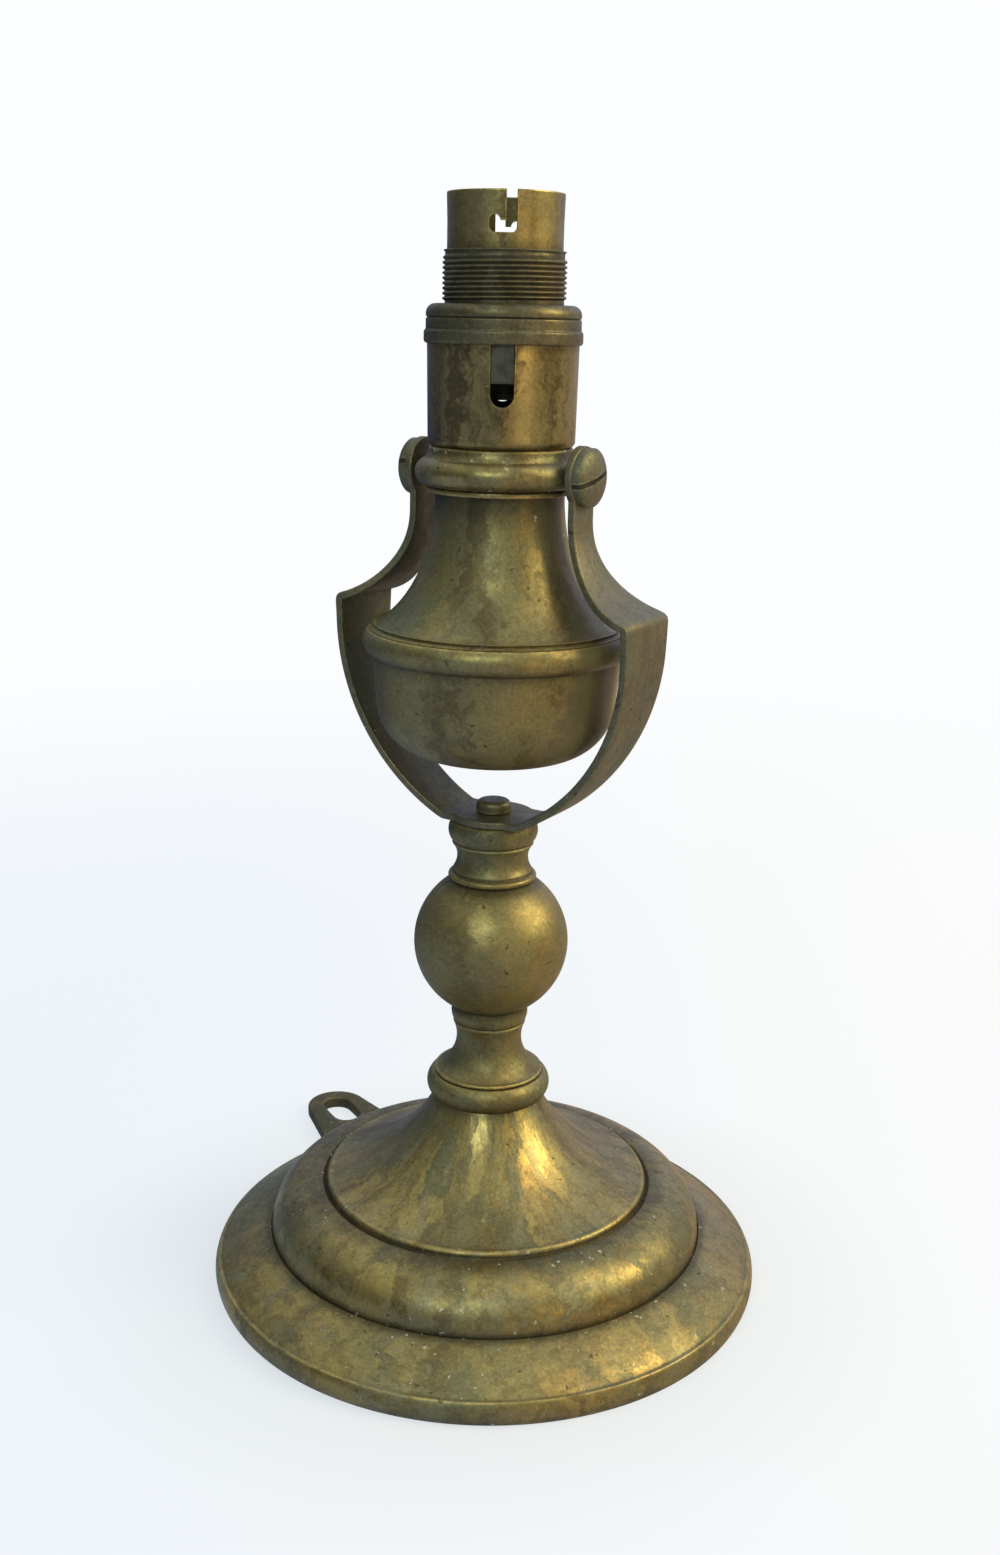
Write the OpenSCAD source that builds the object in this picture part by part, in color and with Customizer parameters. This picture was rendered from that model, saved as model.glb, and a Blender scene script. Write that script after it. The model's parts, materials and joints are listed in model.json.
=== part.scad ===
// Gimbal lamp: a weighted vessel with a bayonet lampholder, hung in a yoke on a turned column.
// Origin at the centre of the foot. +Z is up and +X runs along the swing axis.

/* [Base] */
// Diameter of the base over its rim
base_d = 125.8; // [118:0.2:136]
// Height of the rim's edge
rim_h = 5.4; // [4.4:0.1:8]
// Bulge of the rim's edge
rim_bulge = 0.8; // [0.3:0.1:1.4]
// Rise of the flange from the rim to the groove
flange_rise = 6.3; // [4.5:0.1:8]
// Bulge of the flange's top
flange_bulge = 0.5; // [0.1:0.1:1.2]
// Outer diameter of the half-round ring
ring_d = 99.4; // [92:0.2:105]
// Rise of the half-round ring
ring_rise = 11; // [8:0.1:14]
// Diameter of the cone at its lip
lip_d = 74; // [66:0.2:82]
// Height of the cone's lip
lip_h = 1.25; // [0.8:0.05:2.4]
// Rise of the cone from its lip to the column's seat
cone_rise = 20; // [16:0.1:26]
// Hollow of the cone's curve
cone_hollow = 3.2; // [1:0.1:5]
// Diameter of the column's seat
seat_d = 24; // [22:0.2:25]
// Wall of the base
base_wall = 2.4; // [1.6:0.1:3.2]
// Width of the solid foot ring
foot_w = 9; // [7.5:0.1:12]
// Width and depth of the turned grooves
groove = 0.7; // [0.3:0.1:1.2]

/* [Column] */
// Diameter of the lowest bead
bead_d = 28; // [26:0.2:32]
// Height of the lowest bead
bead_h = 5.6; // [4.4:0.1:8]
// Bulge of the lowest bead
bead_bulge = 1.4; // [0.8:0.1:2]
// Diameter of the small ring on the bead
astragal_d = 24.6; // [22:0.2:26]
// Height of the small ring on the bead
astragal_h = 0.9; // [0.6:0.1:2]
// Height of the hollow above the small ring
cove_h = 7.5; // [6:0.1:12]
// Diameter of the lower neck
neck_d = 14.7; // [13:0.1:17]
// Height of the flare above the lower neck
flare_h = 4.1; // [2.5:0.1:7]
// Diameter of the ball's lower collar
ball_collar_d = 17.3; // [15:0.1:20]
// Height of the ball's lower collar
ball_collar_h = 3.75; // [2.5:0.05:6]
// Diameter of the ball
ball_d = 34.5; // [28:0.1:42]
// Diameter of the ball's upper collar
upper_collar_d = 19.6; // [18:0.1:22]
// Height of the ball's upper collar
upper_collar_h = 1.9; // [1.7:0.1:4]
// Diameter of the upper neck
upper_neck_d = 15.7; // [14:0.1:17]
// Height of each half of the upper neck
upper_neck_h = 3.4; // [2.5:0.1:6]
// Diameter of the top bead
top_bead_d = 19.8; // [18:0.1:23]
// Height of the top bead
top_bead_h = 4.85; // [3.5:0.05:7]
// Bulge of the small collars and the top bead
collar_bulge = 0.8; // [0.3:0.1:1.1]
// Diameter of the column's threaded tail
tail_d = 10; // [8:0.5:12]

/* [Yoke] */
// Thickness of the yoke's strip
yoke_t = 1.65; // [1.2:0.05:2.5]
// Half length of the flat under the screw
yoke_flat = 9.5; // [8:0.1:12]
// Straight height of the arms below the shoulders
arm_plain = 5; // [2:0.5:12]
// Side gap between the vessel's belt and an arm
arm_gap = 5.05; // [4.6:0.05:9]
// Height from the shoulders to the swing axis
shoulder_drop = 27.6; // [22:0.2:32]
// Radius of the shoulder's corner
shoulder_r = 1.8; // [0.5:0.1:3]
// Height from the tops of the arms' curves to the swing axis
arm_straight = 8.6; // [6.5:0.1:11]
// Diameter of the round boss under the screw
boss_d = 18; // [14:0.2:19]
// Width of the strip beside the boss
strip_seat_w = 13.4; // [10:0.2:16]
// Width of the strip at the shoulders
strip_wide_w = 20; // [16:0.2:24]
// Width of the strip below the ears
strip_neck_w = 8.6; // [6:0.2:11]
// Diameter of the ears
ear_d = 12.6; // [10.5:0.1:14.5]
// Gap between the collar and an ear
ear_gap = 0.35; // [0.2:0.05:0.8]

/* [Vessel] */
// Diameter of the bell's neck
bell_neck_d = 27; // [25:0.2:28.4]
// Height of the bell below the collar
bell_h = 28.7; // [24:0.1:34]
// Angle where the bell's elliptic flare ends
flare_end = 74; // [55:1:84]
// Diameter of the belt
belt_d = 57.4; // [52:0.2:66]
// Height of the belt
belt_h = 5.2; // [4:0.1:7]
// Bulge of the belt
belt_bulge = 1.2; // [0.5:0.1:1.8]
// Height of the bowl below the belt
bowl_h = 22.4; // [20.5:0.1:28]
// Inward slope of the bowl's side
bowl_taper = 1; // [0:0.1:2]
// Radius of the bowl's lower corner
bowl_corner = 12.3; // [8:0.1:14]
// Gap between the bowl and the yoke's screw
bowl_gap = 10.5; // [6:0.05:16]
// Wall of the bell and the bowl
vessel_wall = 1.1; // [0.8:0.05:1.5]
// Length of the bell's spigot in the bowl
spigot_h = 4.4; // [3:0.1:5]
// Depth of the ballast
ballast_h = 10.5; // [5:0.1:11]
// Diameter of the cord's hole
cord_d = 5.2; // [4:0.1:5.4]
// Wall of the cord's bush
bush_wall = 0.9; // [0.6:0.1:1]
// Width of the bush's flange round its body
bush_lip = 0.9; // [0.5:0.1:1]

/* [Pivot collar] */
// Diameter of the half-round collar
collar_d = 35.8; // [34.4:0.1:40]
// Height of its half-round
collar_bead_h = 5.6; // [5:0.1:6.6]
// Diameter of the plain parts above and below the half-round
collar_plain_d = 31; // [30.4:0.1:33]
// Height of the collar below the swing axis
collar_below = 4.1; // [3.8:0.1:6]
// Height of the collar above the swing axis
collar_above = 5.3; // [4.8:0.1:8]
// Depth of the bell's neck in the collar
neck_seat = 1.4; // [1:0.1:1.6]
// Diameter of the nipple
nipple_d = 9.6; // [8:0.1:11]
// Bore of the nipple
nipple_bore = 6.4; // [5:0.1:6.8]

/* [Lampholder] */
// Turn of the lampholder's slots about its axis
holder_turn = -60; // [-180:1:180]
// Diameter of the cap at its foot
cap_foot_d = 30.6; // [29.6:0.1:31.2]
// Diameter of the cap below the ring
cap_d = 31.2; // [30.6:0.1:32]
// Height of the cap below the ring
cap_h = 20.4; // [18:0.1:26]
// Diameter of the cap's thread inside the ring
cap_thread_d = 29.8; // [29.4:0.1:30.2]
// Wall of the cap at its thread
cap_wall = 0.9; // [0.6:0.05:1.1]
// Height of the cap's thread
cap_thread_h = 2.7; // [2.5:0.1:4]
// Width of the cap's slots
cap_slot_w = 4.8; // [3.6:0.1:6]
// Height of the cap's slots below the ring
cap_slot_h = 12; // [9:0.1:14]
// Height of the porcelain lugs below the ring
lug_h = 7.4; // [4:0.1:8]
// Height of the porcelain foot round the two contacts, below the union ring
foot_h = 10.8; // [8:0.1:11]
// Porcelain left round each contact in the foot
foot_wall = 1; // [0.6:0.1:2]
// Thickness of the porcelain's flange
porcelain_flange_t = 1.9; // [1.5:0.1:3]
// Thickness of the barrel's flange
barrel_flange_t = 1.4; // [1:0.1:2]
// Diameter of the union ring's lower band
union_d = 32.6; // [32.2:0.1:35]
// Thickness of the union ring's lip
union_lip_t = 1.8; // [1.4:0.1:2.6]
// Length of the shade ring's thread
thread_h = 10.5; // [7:0.1:14]
// Number of grooves in the thread
thread_turns = 9; // [6:1:11]
// Outer diameter of the shade ring's thread
thread_d = 25.3; // [25:0.1:26]
// Depth of the thread
thread_depth = 0.55; // [0.3:0.05:0.6]
// Outer diameter of the plain barrel
barrel_d = 23.5; // [23.3:0.1:24.2]
// Length of the plain barrel
barrel_h = 10.9; // [10:0.1:16]
// Bore of the barrel
barrel_bore = 22.3; // [22:0.1:22.5]
// Length of the bore that guides the lamp cap
guide_h = 9.6; // [8.5:0.1:10.4]
// Width of the bayonet slots
bayonet_w = 2.2; // [1.8:0.1:3]
// Depth of the bayonet slots
bayonet_h = 8; // [6.5:0.1:9.2]
// Run of the bayonet slots round the barrel
bayonet_run = 3.4; // [2.4:0.1:4.5]
// Rise of the hook at the end of the bayonet slots
bayonet_hook = 1.1; // [0.6:0.1:2]
// Turn of the bayonet slots from the cap's slots
bayonet_turn = 6; // [-20:1:20]

/* [Contacts] */
// Distance between the two plungers
plunger_pitch = 8.4; // [7.6:0.1:9.6]
// Diameter of the plungers
plunger_d = 3.4; // [2.8:0.1:3.8]
// Travel of the plungers
plunger_travel = 4; // [2:0.1:4.4]
// Height of the plungers above the porcelain
plunger_out = 7; // [5.5:0.1:7.4]
// Outer diameter of the contact tubes
tube_d = 6; // [5.6:0.1:6.6]
// Wall of the contact tubes
tube_wall = 0.75; // [0.5:0.05:0.9]
// Number of coils in each spring
spring_turns = 7; // [4:1:8]
// Wire diameter of the springs
spring_wire = 0.5; // [0.3:0.05:0.6]

/* [Hanging loop] */
// Direction of the loop from the base's centre
loop_turn = 150.4; // [0:0.2:360]
// Reach of the loop beyond the rim
loop_reach = 28.6; // [26:0.1:40]
// Width of the loop at its end
loop_w = 16; // [14:0.1:20]
// Width of the loop's tang
tang_w = 23; // [20:0.1:30]
// Thickness of the loop
loop_t = 3.4; // [2.8:0.1:3.6]
// Length of the loop's hole
loop_hole_l = 13.2; // [9:0.1:14]
// Width of the loop's hole
loop_hole_w = 7.2; // [6:0.1:9]
// Height of the loop above the floor
loop_lift = 0.3; // [0.2:0.1:0.4]

/* [Fasteners] */
// Diameter of the yoke screw's head
yoke_head_d = 7.6; // [7:0.1:10]
// Height of the yoke screw's head
yoke_head_h = 2.7; // [2.2:0.1:4]
// Radius of the yoke screw head's rounded edge
yoke_head_edge = 1.2; // [0.3:0.1:2]
// Diameter of the yoke screw's shoulder
yoke_pin_d = 4.8; // [4:0.1:5.6]
// Diameter of the pivot screws' heads
pivot_head_d = 12; // [8:0.1:13.5]
// Height of the pivot screws' heads
pivot_head_h = 3.6; // [2:0.1:4.5]
// Diameter of the pivot screws' shoulders
pivot_pin_d = 4.6; // [4:0.1:5]
// Width of the screwdriver slots
driver_slot = 1; // [0.6:0.1:1.4]
// Diameter of the loop's screws
loop_screw_d = 2.6; // [2:0.1:3.2]

/* [Clearances] */
// Radial clearance of a turning or sliding pin
run_clear = 0.05; // [0.02:0.01:0.09]
// Radial clearance of threads and seats that don't move
seat_clear = 0.05; // [0.02:0.01:0.1]
// End clearance under a screw's head
head_clear = 0.15; // [0.05:0.05:0.4]

/* [Hidden] */
$fn = 96;

brass = [0.56, 0.46, 0.22];
dark_brass = [0.40, 0.34, 0.20];
steel = [0.55, 0.55, 0.53];
lead = [0.35, 0.36, 0.38];
ivory = [0.78, 0.76, 0.68];
ebonite = [0.12, 0.11, 0.10];

// Cut-outs run this far past a face
over = 1;
// Steps of a turned curve
curve_n = 12;

// Heights of the base, from the floor up
ring_z = rim_h + flange_rise;
lip_z = ring_z + ring_rise;
cone_z = lip_z + lip_h;
seat_z = cone_z + cone_rise;
ring_in = lip_d / 2 + 1.5 * groove;

// Heights of the column
astragal_z = seat_z + bead_h;
cove_z = astragal_z + astragal_h;
neck_z = cove_z + cove_h;
ball_collar_z = neck_z + flare_h;
ball_foot_z = ball_collar_z + ball_collar_h;
ball_z = ball_foot_z + side(ball_d / 2, ball_collar_d / 2 - collar_bulge / 2);
ball_top_z = ball_z + side(ball_d / 2, upper_collar_d / 2 - collar_bulge);
upper_neck_z = ball_top_z + upper_collar_h;
top_bead_z = upper_neck_z + 2 * upper_neck_h;
column_z = top_bead_z + top_bead_h;
washer_t = 1.5;
nut_h = 5;
tail_out = 1.5;
tail_z = seat_z - base_wall - washer_t - nut_h - tail_out;
thread_step = 0.4;
yoke_thread_d = yoke_pin_d - 2 * thread_step;
yoke_thread_l = 10;

// Heights of the vessel, hung from the swing axis
yoke_top_z = column_z + yoke_t + head_clear + yoke_head_h;
bowl_z = yoke_top_z + bowl_gap;
belt_z = bowl_z + bowl_h;
rim_z = belt_z + belt_h;
bell_z = rim_z + bell_h;
pivot_z = bell_z + collar_below;
cap_z = pivot_z + collar_above;
bell_top_z = bell_z + neck_seat;
bowl_r = belt_d / 2 - belt_bulge - groove;
bowl_in = bowl_r - vessel_wall;
spigot_r = bowl_in - seat_clear;
bush_r = cord_d / 2 + bush_wall;
bush_lip_t = 1.2;
bush_tail = 2.4;
inlet_z = (belt_z + bowl_z + vessel_wall + ballast_h) / 2;

// Heights of the lampholder
union_z = cap_z + cap_h;
cap_top_z = union_z + cap_thread_h;
barrel_seat_z = cap_top_z + porcelain_flange_t;
union_lip_z = barrel_seat_z + barrel_flange_t;
thread_z = union_lip_z + union_lip_t;
plain_z = thread_z + thread_h;
top_z = plain_z + barrel_h;
guide_z = top_z - guide_h;
bore_step = 0.2;
plunger_top_z = guide_z - bore_step;
porcelain_z = plunger_top_z - plunger_out;
porcelain_clear = 0.15;
porcelain_r = barrel_bore / 2 + bore_step - porcelain_clear;
foot_r = (plunger_pitch + tube_d) / 2 + foot_wall;
flange_r = cap_thread_d / 2 - seat_clear;
cap_in = cap_thread_d / 2 - cap_wall;
cap_floor = 1.5;
cap_chamfer = 0.9;
nipple_nut_h = 4;
nipple_out = 2;

// Sizes of the contacts
tube_lip = 1;
plunger_collar_h = 3.8;
plunger_stub = 3.5;
spring_set = 5;
plunger_shelf_z = porcelain_z - tube_lip - plunger_collar_h;
tube_bore_z = plunger_shelf_z - plunger_stub - plunger_travel - spring_set;
tube_in = tube_d / 2 - tube_wall;
spring_side = 0.4;
spring_r = tube_in - spring_wire / 2 - spring_side;
stub_r = spring_r - spring_wire - run_clear;
terminal_l = 6.5;
terminal_d = 2.4;
terminal_head_h = 1.4;
wire_hole_d = 2.2;
wire_hole_up = 3.4;
small_slot = 0.6;
tube_z = tube_bore_z - terminal_l;

// Sizes of the yoke
arm_x = belt_d / 2 + arm_gap + yoke_t;
ear_in = collar_d / 2 + ear_gap;
ear_x = ear_in + yoke_t;
shoulder_z = pivot_z - shoulder_drop;
arm_top_z = pivot_z - arm_straight;
arm_z = shoulder_z - shoulder_r - arm_plain;
arm_w = arm_x - yoke_flat;
arm_h = arm_z - column_z;
arm_r = (arm_w * arm_w + arm_h * arm_h) / (2 * arm_w);
sweep_w = arm_x - ear_x;
sweep_h = arm_top_z - shoulder_z;
sweep_r = (sweep_w * sweep_w + sweep_h * sweep_h) / (2 * sweep_w);
sweep_a = asin(sweep_h / sweep_r);
strip_hollow = 1.2;

// Sizes of the hanging loop
loop_end = base_d / 2 + loop_reach;
tang_in = base_d / 2 - foot_w + groove;
tang_out = base_d / 2 + over;
screw_ring = base_d / 2 - 0.6 * foot_w;
loop_top = loop_lift + loop_t;
loop_head_r = 0.85 * loop_screw_d;
loop_head_h = 1.2;
loop_screw_up = 2;
loop_screw_pitch = 0.6 * tang_w;

// Third side of a right-angled triangle
function side(long, short) = sqrt(long * long - short * short);

// Points on an arc about a centre
function arc(c, r, a0, a1) = [
  for (i = [0:curve_n])
    let (a = a0 + (a1 - a0) * i / curve_n)
    c + r * [cos(a), sin(a)]
];

// Points on an arc from p to q that bulges by s to the right of its travel
function bow(p, q, s) =
  let (u = (q - p) / norm(q - p))
  let (n = [u.y, -u.x] * sign(s))
  let (r = (pow(norm(q - p) / 2, 2) + s * s) / (2 * abs(s)))
  let (h = asin(min(1, norm(q - p) / 2 / r)))
  let (c = (p + q) / 2 + n * (abs(s) - r))
  [for (i = [0:curve_n]) let (a = h * (2 * i / curve_n - 1)) c + r * (n * cos(a) + u * sin(a))];

// Bulge of an arc from p to q that is upright at one end
function upright(p, q) = norm(q - p) / 2 * tan(atan2(abs(q.x - p.x), abs(q.y - p.y)) / 2);

// Hollow arc from p to q that is upright at its narrower end
function cove(p, q) = bow(p, q, -upright(p, q));

// Upright bead of outer radius r between two heights
function bead(r, z0, z1, s) = bow([r - s, z0], [r - s, z1], s);

// Solid turned from points that start and end on the axis
module turned(points) rotate_extrude() polygon(points);

// Upright tube between two heights
module tube(r_out, r_in, z0, z1) {
  translate([0, 0, z0]) difference() {
    cylinder(r = r_out, h = z1 - z0);
    translate([0, 0, -over]) cylinder(r = r_in, h = z1 - z0 + 2 * over);
  }
}

// Upright rod between two heights
module rod(r, z0, z1) translate([0, 0, z0]) cylinder(r = r, h = z1 - z0);

// Places its child at both ends of a line of the given length
module pair(pitch) for (s = [-1, 1]) translate([s * pitch / 2, 0, 0]) children();

base_points = concat(
  [[0, 0]],
  bow([base_d / 2 - rim_bulge, 0], [base_d / 2 - rim_bulge, rim_h], rim_bulge),
  bow([base_d / 2 - rim_bulge - groove, rim_h], [ring_d / 2 + groove, ring_z], flange_bulge),
  [[ring_d / 2, ring_z - groove]],
  [
    for (i = [1:curve_n])
      let (a = 90 * i / curve_n)
      [ring_in + (ring_d / 2 - ring_in) * cos(a), ring_z + ring_rise * sin(a)]
  ],
  [[lip_d / 2 + groove / 2, lip_z - groove]],
  bow([lip_d / 2, lip_z], [lip_d / 2 - groove, cone_z], groove / 3),
  bow([lip_d / 2 - 2 * groove, cone_z], [seat_d / 2, seat_z], -cone_hollow),
  [[0, seat_z]]
);

module base_cavity() {
  intersection() {
    translate([0, -over]) square([base_d / 2 - foot_w, seat_z]);
    offset(delta = -base_wall) {
      polygon(base_points);
      mirror([1, 0]) polygon(base_points);
      translate([-base_d / 2, -4 * base_wall]) square([base_d, 4 * base_wall + rim_h / 2]);
    }
  }
}

module at_loop() rotate(loop_turn) children();

module at_loop_screws() at_loop() translate([screw_ring, 0, 0]) rotate(90) pair(loop_screw_pitch) children();

module base_shell() {
  color(brass) difference() {
    rotate_extrude() difference() {
      polygon(base_points);
      base_cavity();
      translate([-over, 0]) square([over + tail_d / 2 + seat_clear, seat_z + over]);
    }
    at_loop() translate([tang_in - over, -tang_w / 2 - seat_clear, -over])
      cube([foot_w + 2 * over, tang_w + 2 * seat_clear, loop_top + over]);
    at_loop_screws() rod(loop_screw_d / 2 + seat_clear, 0, loop_top + loop_screw_up);
  }
}

column_points = concat(
  [[0, seat_z]],
  bead(bead_d / 2, seat_z, astragal_z, bead_bulge),
  bead(astragal_d / 2, astragal_z, cove_z, 0.45 * astragal_h),
  cove([astragal_d / 2 - groove, cove_z], [neck_d / 2, neck_z]),
  cove([neck_d / 2, neck_z], [ball_collar_d / 2 - collar_bulge / 2, ball_collar_z]),
  bead(ball_collar_d / 2, ball_collar_z, ball_foot_z, collar_bulge / 2),
  arc([0, ball_z], ball_d / 2, -acos((ball_collar_d / 2 - collar_bulge / 2) / (ball_d / 2)),
    acos((upper_collar_d / 2 - collar_bulge) / (ball_d / 2))),
  bead(upper_collar_d / 2, ball_top_z, upper_neck_z, collar_bulge),
  cove([upper_collar_d / 2 - collar_bulge, upper_neck_z], [upper_neck_d / 2, upper_neck_z + upper_neck_h]),
  cove([upper_neck_d / 2, upper_neck_z + upper_neck_h], [top_bead_d / 2 - collar_bulge, top_bead_z]),
  bead(top_bead_d / 2, top_bead_z, column_z, collar_bulge),
  [[0, column_z]]
);

module column() {
  color(brass) difference() {
    union() {
      turned(column_points);
      rod(tail_d / 2, tail_z, seat_z + over);
    }
    rod(yoke_thread_d / 2 + seat_clear, column_z - yoke_thread_l - over, column_z + over);
  }
}

module column_washer() {
  z = seat_z - base_wall;
  color(dark_brass) tube(seat_d / 2 - base_wall, tail_d / 2 + seat_clear, z - washer_t, z);
}

module column_nut() {
  z = seat_z - base_wall - washer_t;
  color(dark_brass) difference() {
    translate([0, 0, z - nut_h]) cylinder(d = 1.8 * tail_d, h = nut_h, $fn = 6);
    rod(tail_d / 2 + seat_clear, z - nut_h - over, z + over);
  }
}

module loop_outline() {
  difference() {
    union() {
      translate([tang_in, -tang_w / 2]) square([tang_out - tang_in, tang_w]);
      hull() {
        translate([tang_out - over, -tang_w / 2]) square([over, tang_w]);
        translate([loop_end - loop_w / 2, 0]) circle(d = loop_w);
      }
    }
    hole_out = loop_end - (loop_w - loop_hole_w) / 2 - loop_hole_w / 2;
    hole_run = loop_hole_l - loop_hole_w;
    translate([hole_out, 0]) circle(d = loop_hole_w);
    translate([hole_out - hole_run, 0]) circle(d = loop_hole_w);
    translate([hole_out - hole_run, -loop_hole_w / 2]) square([hole_run, loop_hole_w]);
  }
}

module hanging_loop() {
  color(dark_brass) difference() {
    at_loop() translate([0, 0, loop_lift]) linear_extrude(loop_t) loop_outline();
    at_loop_screws() rod(loop_screw_d / 2 + seat_clear, 0, loop_top + over);
    at_loop_screws() rod(loop_head_r + seat_clear, 0, loop_lift + loop_head_h);
  }
}

module loop_screws() {
  color(dark_brass) at_loop_screws() difference() {
    union() {
      rod(loop_screw_d / 2, loop_lift, loop_top + loop_screw_up);
      rod(loop_head_r, loop_lift, loop_lift + loop_head_h);
    }
    translate([-loop_screw_d, -small_slot / 2, 0])
      cube([2 * loop_screw_d, small_slot, loop_lift + loop_head_h / 2]);
  }
}

// Outer outline of one arm, from the seat to above the ear
sweep_points = arc([ear_x + sweep_r, arm_top_z], sweep_r, 180 + sweep_a * (1 - shoulder_r / sweep_h), 180);
corner_foot = [arm_x, shoulder_z - shoulder_r];
arm_points = concat(
  [[0, column_z]],
  arc([arm_x - arm_r, arm_z], arm_r, -asin(arm_h / arm_r), 0),
  bow(corner_foot, sweep_points[0], upright(corner_foot, sweep_points[0])),
  sweep_points,
  [[ear_x, pivot_z + ear_d], [0, pivot_z + ear_d]]
);

module yoke_outline() {
  polygon(arm_points);
  mirror([1, 0]) polygon(arm_points);
}

module yoke_width() {
  half = concat(
    [[0, column_z - over], [strip_seat_w / 2, column_z - over], [strip_wide_w / 2, shoulder_z]],
    bow([strip_wide_w / 2, shoulder_z + shoulder_r], [strip_neck_w / 2, arm_top_z], -strip_hollow),
    [[strip_neck_w / 2, pivot_z], [0, pivot_z]]
  );
  polygon(half);
  mirror([1, 0]) polygon(half);
  translate([0, pivot_z]) circle(d = ear_d);
}

module yoke() {
  color(dark_brass) difference() {
    union() {
      intersection() {
        rotate([90, 0, 0]) linear_extrude(strip_wide_w + ear_d, center = true) difference() {
          yoke_outline();
          offset(delta = -yoke_t) yoke_outline();
        }
        rotate([90, 0, 90]) linear_extrude(2 * arm_x + over, center = true) yoke_width();
      }
      rod(boss_d / 2, column_z, column_z + yoke_t);
    }
    rod(yoke_pin_d / 2 + run_clear, column_z - over, column_z + yoke_t + over);
    translate([0, 0, pivot_z]) rotate([0, 90, 0])
      cylinder(d = pivot_pin_d + 2 * run_clear, h = 2 * arm_x, center = true);
  }
}

module yoke_screw() {
  z = column_z + yoke_t + head_clear;
  color(dark_brass) union() {
    rod(yoke_thread_d / 2, column_z - yoke_thread_l, column_z + over);
    rod(yoke_pin_d / 2, column_z, z + over);
    turned(concat(
      [[0, z], [yoke_head_d / 2, z]],
      arc([yoke_head_d / 2 - yoke_head_edge, z + yoke_head_h - yoke_head_edge], yoke_head_edge, 0, 90),
      [[0, z + yoke_head_h]]
    ));
  }
}

// Outline of the collar: a foot lip, an undercut, the half-round and the cove above it
collar_lip = 0.4;
collar_foot_z = pivot_z - collar_bead_h / 2;
collar_cove_z = pivot_z + collar_bead_h / 2;
collar_top_z = cap_z - collar_lip;
collar_round = 0.35 * collar_bead_h;
collar_points = concat(
  [[0, bell_z], [collar_plain_d / 2, bell_z], [collar_plain_d / 2, collar_foot_z - collar_lip]],
  [[collar_plain_d / 2 - collar_lip, collar_foot_z]],
  bead(collar_d / 2, collar_foot_z, collar_cove_z, collar_round),
  cove([collar_plain_d / 2 + collar_lip, collar_cove_z], [collar_plain_d / 2 - collar_lip, collar_top_z]),
  [[collar_plain_d / 2 - 2 * collar_lip, cap_z], [0, cap_z]]
);
pivot_thread_d = pivot_pin_d - 2 * thread_step;
spot_depth = 0.8;
spot_clear = 0.6;
pivot_seat_x = collar_d / 2 - spot_depth;
pivot_depth = 7;
slot_lean = 14;

// Places its child on the swing axis at both ears, with +Z outward
module at_pivots() for (a = [0, 180]) rotate(a) translate([0, 0, pivot_z]) rotate([0, 90, 0]) children();

module pivot_collar() {
  color(brass) difference() {
    turned(collar_points);
    rod(bell_neck_d / 2 + seat_clear, bell_z - over, bell_top_z);
    rod(nipple_d / 2 + seat_clear, bell_z, cap_z + over);
    at_pivots() rod(pivot_thread_d / 2 + seat_clear, pivot_seat_x - pivot_depth - over, collar_d);
    at_pivots() rod(pivot_pin_d / 2 + spot_clear, pivot_seat_x, collar_d);
  }
}

module pivot_screws() {
  x = ear_x + head_clear;
  color(dark_brass) at_pivots() difference() {
    union() {
      rod(pivot_thread_d / 2, pivot_seat_x - pivot_depth, pivot_seat_x + over);
      rod(pivot_pin_d / 2, pivot_seat_x, x + over);
      turned(concat(
        [[0, x], [pivot_head_d / 2, x]],
        bow([pivot_head_d / 2, x + 0.4 * pivot_head_h], [0, x + pivot_head_h], 0.18 * pivot_head_h)
      ));
    }
    rotate(slot_lean - 90) translate([-pivot_head_d, -driver_slot / 2, x + pivot_head_h / 2])
      cube([2 * pivot_head_d, driver_slot, pivot_head_h]);
  }
}

// Outer curve of the bell, from its neck down to the belt
bell_flare = bowl_r + groove - bell_neck_d / 2;
bell_points = [
  for (i = [0:2 * curve_n])
    let (a = flare_end * i / (2 * curve_n))
    [
      bell_neck_d / 2 + bell_flare * (1 - cos(a)) / (1 - cos(flare_end)),
      bell_z - bell_h * sin(a) / sin(flare_end)
    ]
];

// Half section of the bell and its spigot, which is drawn longer to cut the hollow
module bell_outline(longer) {
  spigot_z = rim_z - spigot_h - longer;
  polygon(concat(
    [[0, bell_top_z], [bell_neck_d / 2, bell_top_z]],
    bell_points,
    [[spigot_r, rim_z], [spigot_r, spigot_z], [0, spigot_z]]
  ));
}

module vessel_bell() {
  color(brass) rotate_extrude() difference() {
    bell_outline(0);
    intersection() {
      translate([0, belt_z - belt_h]) square([belt_d, bell_h + 2 * belt_h + neck_seat]);
      offset(delta = -vessel_wall) {
        bell_outline(2 * vessel_wall);
        mirror([1, 0]) bell_outline(2 * vessel_wall);
      }
    }
    translate([-over, rim_z]) square([over + nipple_d / 2 + seat_clear, bell_h + neck_seat + over]);
  }
}

// Outer outline of the bowl, from its rim down to the axis
corner_r = bowl_r - bowl_taper - bowl_corner;
bowl_points = concat(
  [[0, rim_z]],
  bow([belt_d / 2 - belt_bulge, rim_z], [belt_d / 2 - belt_bulge, belt_z], -belt_bulge),
  [[bowl_r, belt_z - groove / 2]],
  arc([corner_r, bowl_z + bowl_corner], bowl_corner, 0, -90),
  [[0, bowl_z]]
);

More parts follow.
